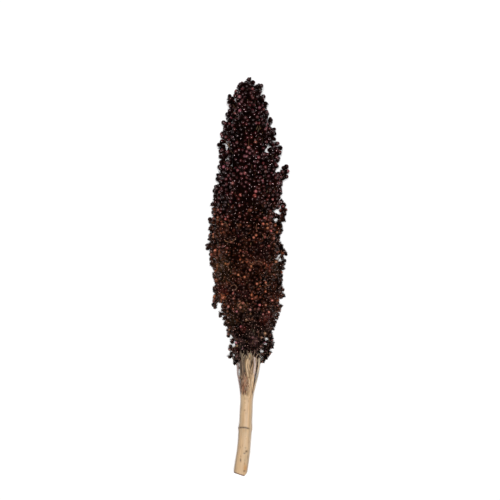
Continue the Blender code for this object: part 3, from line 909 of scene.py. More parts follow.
patterns = {
    "plump": makeGrainPattern("plump", 0.0),
    "opened": makeGrainPattern("opened", 1.0),
    "bare": makeGrainPattern("bare", 0.0, False),
    "barren": makeBarrenHusk(),
}
for key, pattern in patterns.items():
    print("pattern", key, len(pattern.data.polygons), "faces")


def readNumbers(mesh, name):
    values = np.empty(len(mesh.vertices))
    mesh.attributes[name].data.foreach_get("value", values)
    return values


def copyOnto(name, pattern, places):
    # one mesh with a copy of the pattern on every place
    source = pattern.data
    points = meshPoints(source)
    husk, shade = readNumbers(source, "husk"), readNumbers(source, "shade")
    count, size = len(places), len(points)
    turns = np.array([p["turn"] for p in places])
    centres = np.array([p["at"] for p in places])
    laid = np.einsum("kij,nj->kni", turns, points) + centres[:, None, :]
    laid[:, :, 2] += np.maximum(0.1 * mm - laid[:, :, 2].min(1), 0)[:, None]  # none goes below the floor
    corners = np.empty(len(source.loops), np.int64)
    source.loops.foreach_get("vertex_index", corners)
    starts = np.empty(len(source.polygons), np.int64)
    source.polygons.foreach_get("loop_start", starts)
    slots = np.empty(len(source.polygons), np.int64)
    source.polygons.foreach_get("material_index", slots)
    steps = np.arange(count)
    mesh = bpy.data.meshes.new(name)
    mesh.vertices.add(count * size)
    mesh.loops.add(count * len(corners))
    mesh.polygons.add(count * len(starts))
    mesh.vertices.foreach_set("co", laid.ravel())
    mesh.loops.foreach_set("vertex_index", (corners[None] + steps[:, None] * size).ravel())
    mesh.polygons.foreach_set("loop_start", (starts[None] + steps[:, None] * len(corners)).ravel())
    mesh.polygons.foreach_set("material_index", np.tile(slots, count))
    mesh.polygons.foreach_set("use_smooth", np.ones(count * len(starts), bool))
    mesh.update(calc_edges=True)
    mesh.validate()
    grainTints = np.array([p["tint"] for p in places])[:, None, :]
    huskTints = np.array([p["huskTint"] for p in places])[:, None, :]
    mask = husk[None, :, None]
    for key in ("dull", "rusty"):
        setNumber(mesh, key, np.repeat([p.get(key, 1.0) for p in places], size))
    # each tint is multiplied by the pattern's painted shade and painted tip highlight
    setTint(mesh, ((grainTints * (1 - mask) + huskTints * mask) * shade[None, :, None]).reshape(-1, 3))
    mesh.materials.append(grainSkin)
    mesh.materials.append(huskSkin)
    piece = bpy.data.objects.new(name, mesh)
    bpy.context.scene.collection.objects.link(piece)
    return piece


# where the grains sit

headLook = {
    "seed": 29,
    "tries": 110000,
    # depth under the skin, its scatter, least spacing in the layer and to the others, size of the grain
    "layers": [
        (1.60 * mm, 1.0 * mm, 3.40 * mm, 3.40 * mm, 2.02 * mm),
        (4.9 * mm, 1.0 * mm, 3.60 * mm, 2.70 * mm, 2.05 * mm),
        (8.2 * mm, 1.2 * mm, 4.10 * mm, 3.00 * mm, 2.25 * mm),
    ],
    "fineFrom": 0.058,  # below this place the grains are smaller and their husks stand open
    "fineShare": 0.80,
    "standOut": 0.12,
    "barren": 2300,
}
# sprays that stand at the edges in the picture: from column and row to column and row,
# height over the middle line in mm, grains, share of the stem that is bare
edgeSprays = [
    (262, 141, 274, 129.5, -2, 8, 0.1), (267, 164, 277.5, 143.5, 0, 9, 0.2), (271, 161, 280.3, 147.5, 3, 6, 0.3),
    (269, 172, 277.5, 160.5, -3, 6, 0.1), (276, 186, 286.2, 166.5, 0, 6, 0.55), (275, 194, 283.0, 178.0, 2, 6, 0.3),
    (272, 203, 280.5, 193.0, 0, 6, 0.1), (279, 222, 284.0, 204.5, 1, 8, 0.15), (274, 206, 281.5, 202.0, -2, 4, 0.1),
    (276, 233, 282.3, 220.0, -1, 6, 0.1), (275, 241, 281.0, 230.5, 2, 5, 0.1), (274, 249, 286.0, 254.4, 0, 9, 0.1),
    (281.6, 250, 282.6, 258.0, 1, 4, 0.1), (273, 268, 284.8, 260.6, 1, 8, 0.2), (274, 277, 282.8, 268.0, 0, 6, 0.1), (273, 291, 280.3, 281.0, 2, 5, 0.1),
    (272, 305, 283.0, 289.5, 0, 9, 0.1), (273, 301, 283.4, 295.5, 1, 5, 0.1), (271, 317, 280.6, 306.0, -2, 8, 0.1),
    (271, 310, 279.6, 308.0, 1, 6, 0.1), (266, 326, 278.0, 314.5, 1, 7, 0.1),
    (264, 332, 275.5, 322.5, -1, 7, 0.1), (262, 331, 272.5, 328.5, -1, 5, 0.1),
    (268.5, 330, 271.6, 347.0, 2, 9, 0.1), (269.5, 343, 265.8, 358.0, 0, 8, 0.1), (265, 352, 262.4, 361.5, -2, 4, 0.2),
    (263.5, 338, 263.5, 349.0, 3, 6, 0.1),
    (234, 140, 225.2, 126.5, 0, 6, 0.1), (233, 151, 222.0, 134.0, -2, 8, 0.2), (223, 156, 221.8, 141.5, 1, 6, 0.1),
    (231, 171, 220.5, 156.5, 0, 7, 0.2), (229, 186, 222.0, 168.5, -1, 7, 0.1), (225, 200, 214.8, 190.5, 0, 7, 0.1),
    (222, 214, 212.5, 204.0, 1, 7, 0.1), (221, 230, 210.0, 219.0, -2, 8, 0.1), (215, 243, 210.0, 247.2, 0, 2, 0.5),
    (221, 257, 211.5, 251.0, 0, 6, 0.1), (222, 271, 212.5, 262.0, -1, 6, 0.1), (223, 283, 214.5, 273.5, 1, 6, 0.1),
    (221, 286, 214.6, 305.5, 0, 11, 0.05), (219, 282, 214.5, 291.0, 3, 5, 0.1), (217, 289, 214.8, 307.5, -2, 10, 0.05), (226, 309, 220.0, 316.0, 0, 5, 0.2),
    (231, 318, 225.3, 324.5, 0, 6, 0.1), (233, 330, 228.3, 336.0, 1, 5, 0.1), (236, 336, 232.0, 342.0, -1, 5, 0.1),
    (240, 343, 229.8, 349.0, 1, 7, 0.1), (238, 345, 229.8, 357.3, -1, 9, 0.1), (240, 350, 234.4, 363.0, 2, 9, 0.1),
    (245, 333, 243.0, 352.0, 11, 10, 0.05), (249, 332, 247.2, 354.0, 13, 11, 0.05), (252, 333, 250.4, 352.0, 12, 10, 0.05),
    (255, 332, 254.0, 353.0, 12, 11, 0.05), (258, 333, 258.0, 352.0, 10, 10, 0.05), (261, 334, 261.2, 351.0, 7, 9, 0.05),
    (242, 336, 239.6, 350.0, 7, 8, 0.05), (247, 340, 245.0, 349.0, 13, 6, 0.05), (253, 340, 252.2, 348.0, 14, 5, 0.05),
    (257, 341, 256.5, 350.0, 12, 5, 0.05), (257.6, 345, 258.0, 357.0, 9, 7, 0.05), (254.4, 345, 254.4, 355.5, 12, 6, 0.05),
    (251.4, 343, 251.2, 351.0, 13, 5, 0.05), (246.2, 342, 245.0, 352.0, 12, 6, 0.05), (259.4, 346, 259.6, 355.0, 6, 5, 0.05), (243, 349, 238.7, 359.5, 4, 7, 0.1), (246, 347, 243.0, 354.5, 6, 5, 0.1), (256, 346, 258.5, 355.0, 5, 6, 0.1),
]
freeSprays = {"seed": 61, "count": 46, "length": (9 * mm, 15 * mm), "grains": (5, 8)}
# places where the ground shows through the head, seen from straight above: across, along, radius
seeThrough = [
    (226.2, 142.6, 1.5), (226.6, 145.2, 1.8), (226.9, 148.0, 1.4), (227.0, 158.8, 2.1), (224.6, 164.0, 1.3),
    (232.6, 164.6, 1.6), (234.4, 165.4, 1.4), (261.0, 162.5, 1.3), (266.6, 150.0, 2.0), (268.5, 147.0, 1.8),
    (276.5, 211.6, 2.3), (275.6, 219.6, 2.0), (279.4, 254.5, 1.3), (280.2, 259.5, 1.6), (276.4, 258.5, 0.6),
    (266.3, 338.8, 1.3), (265.4, 344.0, 1.5), (261.4, 351.4, 1.9), (260.1, 356.6, 1.3), (233.8, 346.0, 1.3),
    (240.4, 346.4, 1.0), (230.8, 351.6, 1.1), (233.5, 355.2, 1.2), (239.5, 364.0, 1.0), (219.4, 304.6, 1.9),
    (279.5, 170.0, 1.6),
]
def clearOfHoles(points, radius):
    # true for the points that stay clear of every see-through place
    keep = np.ones(len(points), bool)
    height = cameraSpot.z - points[:, 2]
    seenX = cameraSpot.x + (points[:, 0] - cameraSpot.x) * 1.25 / height
    seenY = cameraSpot.y + (points[:, 1] - cameraSpot.y) * 1.25 / height
    for column, row, wide in seeThrough:
        apart = np.hypot(seenX - acrossAt(column), seenY - alongAt(row))
        keep &= apart > wide * 0.0009 + radius * 0.72
    return keep


def readSkin():
    # the outer skin of the head, without the sockets that the stems stand in
    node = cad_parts["seed_head"]
    welded = node.data.copy()
    shaped = bmesh.new()
    shaped.from_mesh(welded)
    bmesh.ops.remove_doubles(shaped, verts=shaped.verts, dist=0.001 * mm)
    bmesh.ops.triangulate(shaped, faces=shaped.faces)
    points = np.array([v.co for v in shaped.verts])
    faces = np.array([[v.index for v in f.verts] for f in shaped.faces])
    shaped.free()
    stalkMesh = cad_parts["stalk"].data
    stalkTree = BVHTree.FromPolygons(
        [v.co for v in stalkMesh.vertices], [tuple(p.vertices) for p in stalkMesh.polygons])
    centres = points[faces].mean(1)
    outer = np.array([stalkTree.find_nearest(Vector(c))[3] > 0.7 * mm for c in centres])
    return points, faces, outer


def samplePlaces(points, faces, count, rng):
    a, b, c = (points[faces[:, k]] for k in range(3))
    normal = np.cross(b - a, c - a)
    area = np.linalg.norm(normal, axis=1)
    normal = normal / np.maximum(area, 1e-12)[:, None]
    chosen = rng.choice(len(faces), count, p=area / area.sum())
    u, v = rng.random(count), rng.random(count)
    over = u + v > 1
    u[over], v[over] = 1 - u[over], 1 - v[over]
    spots = a[chosen] + u[:, None] * (b - a)[chosen] + v[:, None] * (c - a)[chosen]
    return spots, normal[chosen]


class Spacing:
    # keeps the grains from sitting in one another, with more room between grains of one layer
    def __init__(self, cell):
        self.cell = cell
        self.held = {}

    def key(self, spot):
        return tuple(int(math.floor(v / self.cell)) for v in spot)

    def free(self, spot, layer, within, between):
        i, j, k = self.key(spot)
        for a in (i - 1, i, i + 1):
            for b in (j - 1, j, j + 1):
                for c in (k - 1, k, k + 1):
                    for x, y, z, other in self.held.get((a, b, c), ()):
                        gap = within if other == layer else between
                        dx, dy, dz = spot[0] - x, spot[1] - y, spot[2] - z
                        if dx * dx + dy * dy + dz * dz < gap * gap:
                            return False
        return True

    def hold(self, spot, layer):
        self.held.setdefault(self.key(spot), []).append((spot[0], spot[1], spot[2], layer))


def fineness(spot):
    # 0 among the plump grains of the tip, 1 lower down, with an uneven border
    border = headLook["fineFrom"] + 30 * mm * noise.noise(Vector(spot) * 38.0)
    return float(np.clip((border - spot[1]) / 0.060 + 0.5, 0, 1))


def footness(spot):
    return float(np.clip((-0.020 - spot[1]) / 0.034 + 0.5 * noise.noise(Vector(spot) * 50.0), 0, 1))


headTones = {
    "maroon": ((0.0040, 0.0004, 0.0003), (0.062, 0.0100, 0.0108), (0.260, 0.078, 0.086)),
    "rust": ((0.0038, 0.0004, 0.0001), (0.036, 0.0064, 0.0030), (0.370, 0.122, 0.072)),
    "olive": ((0.0030, 0.0006, 0.0003), (0.026, 0.0070, 0.0046), (0.430, 0.250, 0.210)),
    "red": ((0.0060, 0.0006, 0.0003), (0.052, 0.0070, 0.0050), (0.270, 0.048, 0.038)),
    "pink": ((0.0060, 0.0014, 0.0014), (0.056, 0.0170, 0.0180), (0.290, 0.120, 0.125)),
    "plum": ((0.0060, 0.0022, 0.0022), (0.048, 0.0260, 0.0270), (0.190, 0.125, 0.130)),
    "ochre": ((0.0045, 0.0014, 0.0004), (0.036, 0.0145, 0.0045), (0.270, 0.140, 0.055)),
}


# patches on the side that faces up: column and row, radius, how much lighter, and the tone they lean to
tonePatches = [
    (255.3, 129.4, 5, -0.5, "maroon"), (237.9, 139.4, 5, -0.5, "maroon"), (235.9, 158.2, 6, -0.5, "maroon"),
    (227.2, 146.8, 5, -0.5, "maroon"), (252.6, 163.5, 4, 0.4, "pink"), (246.6, 155.5, 6, 0.25, "pink"),
    (245.9, 183.6, 6, 0.3, "pink"), (259.3, 186.3, 4, 0.45, "rust"), (229.2, 191.7, 4, 0.4, "red"),
    (252.6, 196.4, 4, 0.4, "red"), (251.9, 175.6, 4, -0.5, "maroon"), (227.0, 206.0, 6, -0.5, "maroon"),
    (245.9, 201.0, 5, -0.5, "maroon"), (257.0, 202.4, 4, -0.4, "maroon"), (238.5, 199.5, 4, 0.4, "red"),
    (264.0, 172.0, 4, 0.25, "pink"), (238.0, 149.0, 4, 0.35, "red"), (256.0, 142.0, 3, 0.4, "rust"),
    (224.5, 219.0, 4, 0.4, "red"), (265.3, 221.0, 4, 0.45, "rust"), (270.7, 228.4, 5, 0.3, "rust"),
    (223.1, 231.7, 5, 0.35, "rust"), (230.5, 235.8, 4, -0.5, "rust"), (260.6, 250.5, 7, -0.5, "maroon"),
    (238.5, 233.8, 5, -0.5, "maroon"), (215.1, 253.8, 7, 0.3, "rust"), (220.5, 263.9, 7, 0.2, "ochre"),
    (247.9, 261.2, 6, 0.45, "rust"), (268.7, 266.6, 4, 0.5, "red"), (260.0, 263.2, 5, 0.35, "rust"),
    (243.2, 266.5, 4, -0.5, "rust"), (243.2, 276.0, 6, 0.4, "rust"), (224.5, 275.3, 6, -0.45, "ochre"),
    (241.9, 290.0, 7, -0.5, "maroon"), (223.1, 290.0, 5, 0.15, "red"), (274.0, 296.7, 5, 0.4, "rust"),
    (275.0, 268.0, 6, -0.45, "ochre"), (241.9, 305.4, 5, 0.3, "ochre"),
    (267.3, 315.5, 4, 0.25, "red"), (264.6, 319.8, 4, 0.25, "red"), (242.9, 328.4, 3.5, 0.35, "red"),
    (252.2, 331.7, 4, -0.5, "olive"), (253.8, 340.9, 4, 0.3, "pink"), (239.7, 340.9, 3, 0.2, "pink"),
    (235.4, 350.1, 3, 0.1, "red"),
    (228.0, 318.0, 6, -0.4, "ochre"), (252.0, 312.0, 6, -0.4, "olive"),
]


def patchesAt(spot):
    # how far each patch reaches this place, strongest last
    if spot[2] < middleAt(float(spot[1])).z:
        return []
    found = []
    for column, row, radius, lift, tone in tonePatches:
        apart = math.hypot(spot[0] - acrossAt(column), spot[1] - alongAt(row)) / (radius * 0.9 * mm)
        if apart < 1.8:
            found.append((math.exp(-(apart**2)), lift, tone))
    return sorted(found)


def toneFrom(tones, t):
    dark, middle, bright = (np.array(tone) for tone in tones)
    if t < 0.6:
        return dark + (middle - dark) * (t / 0.6)
    return middle + (bright - middle) * ((t - 0.6) / 0.4)


def grainTint(spot, draw):
    # maroon at the tip, rust in the middle, dark and olive at the foot, most grains dark and a few bright
    fine, foot = fineness(spot), footness(spot)
    patch = 0.30 * noise.noise(Vector(spot) * 60.0) + 0.15 * noise.noise(Vector(spot) * 150.0)
    placed = patchesAt(spot)
    patch += sum(share * lift * (0.5 + 0.4 * fine if lift > 0 else 1.0) for share, lift, _ in placed)
    t = draw.betavariate(0.9 - 0.15 * fine, 2.3 + 0.4 * fine)
    if draw.random() < 0.08 + 0.09 * fine + 0.03 * foot:
        t = draw.uniform(0.55, 0.92)
    t = float(np.clip(t + patch, 0, 1))
    tint = toneFrom(headTones["maroon"], t) * (1 - fine) + toneFrom(headTones["rust"], t) * fine
    tint = tint * (1 - foot) + toneFrom(headTones["olive"], t) * foot
    for share, _, tone in placed:
        tint = tint * (1 - share * 0.8) + toneFrom(headTones[tone], t) * share * 0.8
    # redder or browner, grain by grain
    return tint * (1, draw.uniform(0.88 - 0.16 * fine, 1.08), draw.uniform(0.85 - 0.27 * fine, 1.15))


def huskTint(spot, draw):
    fine, foot = fineness(spot), footness(spot)
    patch = 0.5 + 1.6 * max(0.0, noise.noise(Vector(spot) * 75.0))
    dark = np.array((0.0045, 0.0006, 0.0004)) * draw.uniform(0.4, 1.6)
    rusty = np.array((0.340, 0.102, 0.046)) * draw.betavariate(0.24, 3.3) * 1.6 * patch
    dull = np.array((0.220, 0.115, 0.092)) * draw.betavariate(0.22, 3.4) * 1.6
    tint = dark * (1 - fine) + rusty * fine
    tint = tint * (1 - foot) + dull * foot
    for share, lift, tone in patchesAt(spot):
        tone = toneFrom(headTones[tone], 0.75) * (0.2 + draw.random())
        tint = (tint * (1 - share * 0.5) + tone * share * 0.5 * fine) * max(0.1, 1 + 1.4 * lift * share)
    return tint


def facing(direction, draw, scatter=0.35):
    # a turn that takes the pattern's +Z to the direction, with a free spin
    loose = Vector((draw.gauss(0, 1), draw.gauss(0, 1), draw.gauss(0, 1))) * scatter
    aim = (Vector(direction) + loose).normalized()
    turn = aim.to_track_quat("Z", "Y").to_matrix() @ Matrix.Rotation(draw.uniform(0, math.tau), 3, "Z")
    return np.array(turn)


def laySprays(laid, stems):
    # sprays at the edges as the picture shows them, and free ones on every other side
    draw = random.Random(freeSprays["seed"])
    rows = []
    for column, row, endColumn, endRow, rise, count, bare in edgeSprays:
        height = middleAt(alongAt(row)).z + rise * mm
        start, end = placeAt(column, row, height), placeAt(endColumn, endRow, height + draw.uniform(-1, 1) * mm)
        rows.append((start, end, count, bare))
    for k in range(freeSprays["count"]):
        y = -0.070 + 0.235 * (k + draw.random()) / freeSprays["count"]
        angle = k * goldenAngle
        if abs(math.sin(angle)) < 0.35:
            continue
        middle = middleAt(y)
        out = Vector((math.cos(angle), 0, math.sin(angle)))
        reach = coreReach(y)
        start = middle + Vector((out.x, 0, out.z * 0.87)) * (reach - 6 * mm)
        length = draw.uniform(*freeSprays["length"])
        end = start + (out * 0.6 + Vector((draw.uniform(-0.4, 0.4), 0.8, 0))).normalized() * length
        end.z = max(end.z, 3.2 * mm)
        rows.append((start, end, draw.randint(*freeSprays["grains"]), 0.15))
    for start, end, count, bare in rows:
        line = end - start
        side = line.cross(Vector((0, 0, 1)))
        side = side.normalized() if side.length > 1e-6 else Vector((1, 0, 0))
        up = side.cross(line).normalized()
        bow = side * draw.uniform(-0.10, 0.10) * line.length
        stem = []
        for step in range(7):
            t = step / 6
            stem.append((start + line * t + bow * 4 * t * (1 - t), (0.50 - 0.22 * t) * mm))
        stems.append(stem)
        fine = fineness(end)
        share = 1 - fine * (1 - headLook["fineShare"])
        size = headLook["layers"][0][4] * share
        for k in range(count):
            t = bare + (1 - bare) * (k + 0.6) / count
            last = k == count - 1
            turn = k * 2.4 + draw.uniform(-0.4, 0.4)
            away = 0.0 if last else size * draw.uniform(1.0, 1.5)
            aside = side * math.cos(turn) + up * math.sin(turn) * 0.7
            spot = start + line * (1.0 if last else min(t, 0.97)) + bow * 4 * t * (1 - t) + aside * away
            if spot.z < size * 0.9:
                spot.z = size * 0.9
            out = (aside * (0.2 if last else 1.0) + line.normalized() * 0.8).normalized()
            grow = size * draw.uniform(0.90, 1.08)
            if clearOfHoles(np.array([spot]), grow * 0.6)[0]:
                laid.append({"spot": spot, "out": out, "size": grow, "layer": 0, "spray": True})


def coreReach(y):
    # rough reach of the head from its middle line
    rows = [(-0.085, 0.008), (-0.068, 0.012), (-0.046, 0.021), (-0.024, 0.028), (0.020, 0.033), (0.060, 0.033),
            (0.093, 0.028), (0.125, 0.0245), (0.155, 0.018), (0.175, 0.010), (0.181, 0.005)]
    return float(np.interp(y, [r[0] for r in rows], [r[1] for r in rows]))


def layGrains():
    look = headLook
    rng = np.random.default_rng(look["seed"])
    draw = random.Random(look["seed"])
    points, faces, outer = readSkin()
    faces = faces[outer]
    tree = BVHTree.FromPolygons([Vector(p) for p in points], [tuple(int(i) for i in f) for f in faces])
    room = Spacing(4.2 * mm)
    laid, stems = [], []
    laySprays(laid, stems)
    for grain in laid:
        room.hold(grain["spot"], 0)
    for layer, (depth, scatter, within, between, size) in enumerate(look["layers"]):
        spots, normals = samplePlaces(points, faces, look["tries"], rng)
        deep = depth + rng.uniform(-0.5, 1.0, len(spots)) * scatter
        centres = spots - normals * deep[:, None]
        keep = clearOfHoles(centres, size)
        for spot, normal, below, clear in zip(centres, normals, deep, keep):
            if not clear:
                continue
            share = 1 - fineness(spot) * (1 - look["fineShare"])
            grow = size * share * draw.uniform(0.90, 1.08)
            if not room.free(spot, layer, within * share, between * share):
                continue
            near = tree.find_nearest(Vector(spot))
            if near[3] < (0.62 if layer == 0 else 0.8) * min(below, depth):
                continue
            if spot[2] < grow * 0.8:
                continue
            room.hold(spot, layer)
            middle = middleAt(float(spot[1]))
            out = Vector(normal) * 0.55 + (Vector(spot) - middle).normalized() * 0.45
            laid.append({"spot": Vector(spot), "out": out.normalized(), "size": grow, "layer": layer, "spray": False})
        print("layer", layer, len(laid))
    return laid, tree, stems


def dressGrains(laid):
    # gives each grain its place, turn and tints, and moves some a little further out
    look = headLook
    draw = random.Random(look["seed"] + 1)
    for grain in laid:
        spot, out = grain["spot"], grain["out"]
        if grain["layer"] == 0 and not grain["spray"] and draw.random() < look["standOut"]:
            shift = draw.uniform(0.8, 2.4) * mm
            moved = spot + out * shift
            if moved.z > grain["size"] and clearOfHoles(np.array([moved]), grain["size"])[0]:
                spot = moved
        lift = Vector((0, 0.55, 0))
        if grain["spray"]:
            lift = Vector((0, 0, 0))
        elif spot.y < -0.055:
            lift = Vector((0, -0.25, 0))
        turn = facing(out + lift, draw)
        grain["at"] = np.array(spot)
        grain["turn"] = turn * grain["size"]
        # painted shade: grains and husks of the inner layers are darkened as if in the shade under the outer grains
        deep = (1.0, 0.20, 0.05)[grain["layer"]]
        grain["tint"] = grainTint(spot, draw) * deep
        grain["dull"] = draw.betavariate(0.8, 2.0)
        grain["rusty"] = fineness(spot)
        grain["huskTint"] = huskTint(spot, draw) * deep
    return laid


laid, skinTree, sprayStems = layGrains()
laid = dressGrains(laid)


def makeGrainPieces():
    # the outer grains in four lengths of the head, and the inner ones together
    draw = random.Random(7)
    cuts = [("grains_tip", 0.105, 1.0), ("grains_upper", 0.055, 0.105), ("grains_middle", 0.012, 0.055),
            ("grains_lower", -0.028, 0.012), ("grains_foot", -1.0, -0.028)]
    made = []
    for name, low, high in cuts:
        mine = [g for g in laid if g["layer"] == 0 and low <= g["spot"].y < high]
        opened, closed = [], []
        for grain in mine:
            (opened if draw.random() < 0.10 + 0.65 * fineness(grain["spot"]) else closed).append(grain)
        piecesHere = []
        if closed:
            piecesHere.append(copyOnto(name, patterns["plump"], closed))
        if opened:
            piecesHere.append(copyOnto(name + "_opened", patterns["opened"], opened))
        deselectAll()
        for piece in piecesHere:
            piece.select_set(True)
        bpy.context.view_layer.objects.active = piecesHere[0]
        bpy.ops.object.join()
        made.append(bpy.context.object)
        print(name, len(mine), len(made[-1].data.polygons))
    inner = [g for g in laid if g["layer"] > 0]
    made.append(copyOnto("grains_inner", patterns["bare"], inner))
    print("grains_inner", len(inner))
    return made


grainPieces = makeGrainPieces()


# barren husks between the grains

def makeBarrenHusks():
    look = headLook
    draw = random.Random(17)
    rng = np.random.default_rng(17)
    outerGrains = [g for g in laid if g["layer"] < 2]
    weight = np.array([0.05 + fineness(g["spot"]) for g in outerGrains])
    chosen = rng.choice(len(outerGrains), look["barren"], p=weight / weight.sum())
    places = []
    for k in chosen:
        grain = outerGrains[k]
        side = grain["out"].cross(Vector((draw.gauss(0, 1), draw.gauss(0, 1), draw.gauss(0, 1)))).normalized()
        spot = grain["spot"] + side * grain["size"] * 0.95 - grain["out"] * 0.5 * mm
        if spot.z < 1.5 * mm:
            continue
        length = draw.uniform(0.85, 1.35) * mm
        aim = grain["out"] + side * 0.5 + Vector((0, 0.5, 0))
        near = skinTree.find_nearest(spot)
        if near[3] > 6 * mm:
            continue
        places.append({
            "at": np.array(spot), "turn": facing(aim, draw, 0.4) * length,
            "tint": huskTint(spot, draw), "huskTint": huskTint(spot, draw) * draw.uniform(0.6, 1.5),
        })
    keep = clearOfHoles(np.array([p["at"] for p in places]), 1.5 * mm)
    places = [p for p, k in zip(places, keep) if k]
    return copyOnto("barren_husks", patterns["barren"], places)


huskPiece = makeBarrenHusks()
print("barren husks", len(huskPiece.data.polygons))


# dark inside of the head: a lumpy body coloured near black as painted shade

coreLook = {
    "around": 20,
    "outline": [
        (-0.0850, 0.0035), (-0.0680, 0.0060), (-0.0460, 0.0110), (-0.0240, 0.0160), (0.0200, 0.0205),
        (0.0600, 0.0200), (0.0930, 0.0145), (0.1250, 0.0110), (0.1550, 0.0065), (0.1700, 0.0020),
    ],
}


def makeCore():
    look = coreLook
    stations = np.linspace(look["outline"][0][0], look["outline"][-1][0], 46)
    radii = smoothRow(look["outline"], stations)[:, 0]
    line = smoothRow(middleLine, stations)
    core = growStem("inner_husks_in_shade", stations, line, radii, look["around"])
    points = meshPoints(core.data)
    middle = smoothRow(middleLine, points[:, 1])
    for k, (x, y, z) in enumerate(points):
        lump = 1 + 0.22 * noise.noise(Vector((x, y, z)) * 140)
        points[k, 0] = middle[k, 0] + (x - middle[k, 0]) * lump
        points[k, 2] = middle[k, 1] + (z - middle[k, 1]) * lump * 0.86
    setPoints(core.data, points)
    shadeSmooth(core)
    core.data.materials.append(innerShadeSkin)
    return core


corePiece = makeCore()


# branchlets from the middle stem out to the grains

# their tint is dark brown, darkened further as painted shade where they run in among the grains
branchletLook = {"seed": 41, "count": 420, "thick": (0.62 * mm, 0.30 * mm), "tint": (0.042, 0.015, 0.008)}


# thin dry tips that curl over the grains: columns and rows along each
curls = [
    [(224.5, 240.1), (226.5, 241.5), (230.5, 242.1), (234.5, 239.8), (236.2, 237.1)],
    [(252.6, 264.6), (255.3, 261.9), (258.6, 261.2), (262.0, 263.2), (262.6, 265.2)],
    [(245.9, 258.5), (248.6, 261.2), (251.9, 263.9), (254.6, 264.6)],
    [(231.2, 286.0), (234.5, 284.7), (236.9, 287.3), (235.2, 290.0), (232.5, 289.4)],
    [(237.9, 305.4), (241.2, 302.7), (245.2, 304.1), (245.6, 306.8)],
    [(222.5, 226.0), (224.0, 223.6), (226.6, 223.8), (227.4, 226.4)],
    [(262.4, 234.0), (264.2, 236.6), (267.4, 237.0), (269.0, 234.8)],
    [(246.0, 318.5), (248.5, 320.8), (251.5, 319.6), (252.6, 316.8)],
    [(257.0, 224.0), (256.0, 228.0), (257.6, 231.5)],
    [(229.6, 262.5), (227.8, 266.0), (229.4, 269.5)],
    [(265.0, 283.0), (267.5, 285.4), (270.4, 284.6)],
    [(236.4, 223.6), (238.8, 226.0), (239.0, 229.4)],
]


def curlLine(spots, draw):
    k = np.linspace(0, len(spots) - 1, 5 * len(spots))
    line = []
    for step, (column, row) in enumerate(smoothRow([(i, *spot) for i, spot in enumerate(spots)], k)):
        t = step / (len(k) - 1)
        aim = placeAt(column, row, 0.02) - cameraSpot
        hit = skinTree.ray_cast(cameraSpot, aim.normalized())[0]
        if hit is None:
            continue
        rise = (0.2 + 1.0 * math.sin(math.pi * t)) * mm
        line.append((hit + Vector((0, 0, rise)), (0.36 - 0.16 * t) * mm))
    return line, np.array((0.24, 0.098, 0.058)) * draw.uniform(0.6, 1.2)


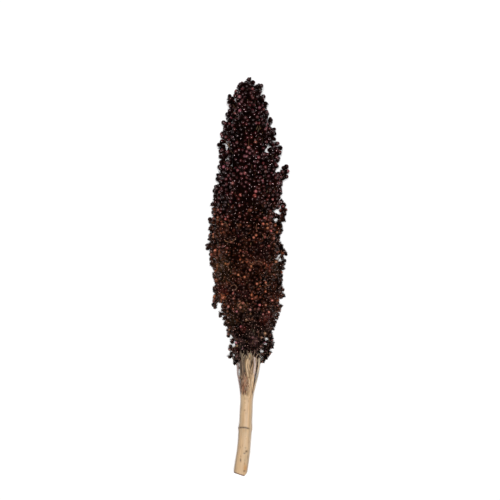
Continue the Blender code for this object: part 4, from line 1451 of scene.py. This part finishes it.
def makeBranchlets():
    look = branchletLook
    draw = random.Random(look["seed"])
    ends = [g for g in laid if g["layer"] < 2]
    draw.shuffle(ends)
    lines, tints = [], []
    for grain in ends[:look["count"]]:
        tip = Vector(grain["at"]) - grain["out"] * grain["size"] * 1.3
        back = draw.uniform(0.014, 0.032)
        y = max(tip.y - back, -0.090)
        root = middleAt(y)
        direction = Vector((tip.x - root.x, 0, tip.z - middleAt(tip.y).z))
        direction = direction.normalized() if direction.length > 1e-5 else Vector((1, 0, 0))
        root = root + direction * 1.5 * mm
        bow = root.lerp(tip, 0.5) + direction * draw.uniform(0.5, 3.0) * mm
        line = []
        for step in range(6):
            t = step / 5
            where = root * (1 - t) ** 2 + bow * 2 * t * (1 - t) + tip * t**2
            line.append((where, look["thick"][0] + t * (look["thick"][1] - look["thick"][0])))
        spots = np.array([p[0] for p in line])
        if clearOfHoles(spots[2:], 0.6 * mm).all():
            lines.append(line)
            tints.append(np.array(look["tint"]) * draw.uniform(0.2, 1.2))
    for line in sprayStems:
        lines.append(line)
        tints.append(np.array((0.080, 0.034, 0.020)) * draw.uniform(0.3, 1.3))
    for spots in curls:
        line, tint = curlLine(spots, draw)
        if len(line) > 3:
            lines.append(line)
            tints.append(tint)
    stems = makeStems("branchlets", lines, 0)
    paintStems(stems, lines, tints, skin=twigSkin)
    return stems


branchletPiece = makeBranchlets()
print("branchlets made", len(branchletPiece.data.polygons))


# what each piece stands for

for piece in (stalkPiece, branchPiece, fibrePiece):
    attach(piece, "root")
    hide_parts("stalk")
for piece in grainPieces + [huskPiece, corePiece, branchletPiece]:
    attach(piece, "root")
    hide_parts("seed_head")
for pattern in patterns.values():
    bpy.data.objects.remove(pattern)


# floor, light and camera

def makeStage():
    look = {"size": 6.0, "key": 54.0, "fill": 0.3, "world": 0.018}
    deselectAll()
    bpy.ops.mesh.primitive_plane_add(size=look["size"], location=(0, 0, 0))
    floor = bpy.context.object
    floor.name = "floor"
    floor.data.materials.append(makeFloorSkin())
    world = bpy.data.worlds.new("studio")
    bpy.context.scene.world = world
    world.use_nodes = True
    world.node_tree.nodes["Background"].inputs["Color"].default_value = (1.0, 1.0, 1.0, 1.0)
    world.node_tree.nodes["Background"].inputs["Strength"].default_value = look["world"]
    lamps = [
        ("keyLight", (0.006, 0.030, 2.20), 0.24, look["key"]),
        ("fillLight", (-1.1, 0.2, 1.3), 1.2, look["fill"]),
    ]
    for name, spot, size, power in lamps:
        lamp = bpy.data.lights.new(name, "AREA")
        lamp.shape = "SQUARE"
        lamp.size = size
        lamp.energy = power
        holder = bpy.data.objects.new(name, lamp)
        holder.location = spot
        aim = Vector((0, 0.0, 0.02)) - Vector(spot)
        holder.rotation_euler = aim.to_track_quat("-Z", "Y").to_euler()
        bpy.context.scene.collection.objects.link(holder)


def makeCamera():
    look = {"lens": 100.0, "sensor": 36.0}
    camera = bpy.data.cameras.new("camera")
    camera.lens = look["lens"]
    camera.sensor_width = look["sensor"]
    holder = bpy.data.objects.new("camera", camera)
    holder.location = cameraSpot
    holder.rotation_euler = (0, 0, 0)
    bpy.context.scene.collection.objects.link(holder)
    bpy.context.scene.camera = holder
    bpy.context.scene.view_settings.view_transform = "Standard"


makeStage()
makeCamera()
print("stage made")
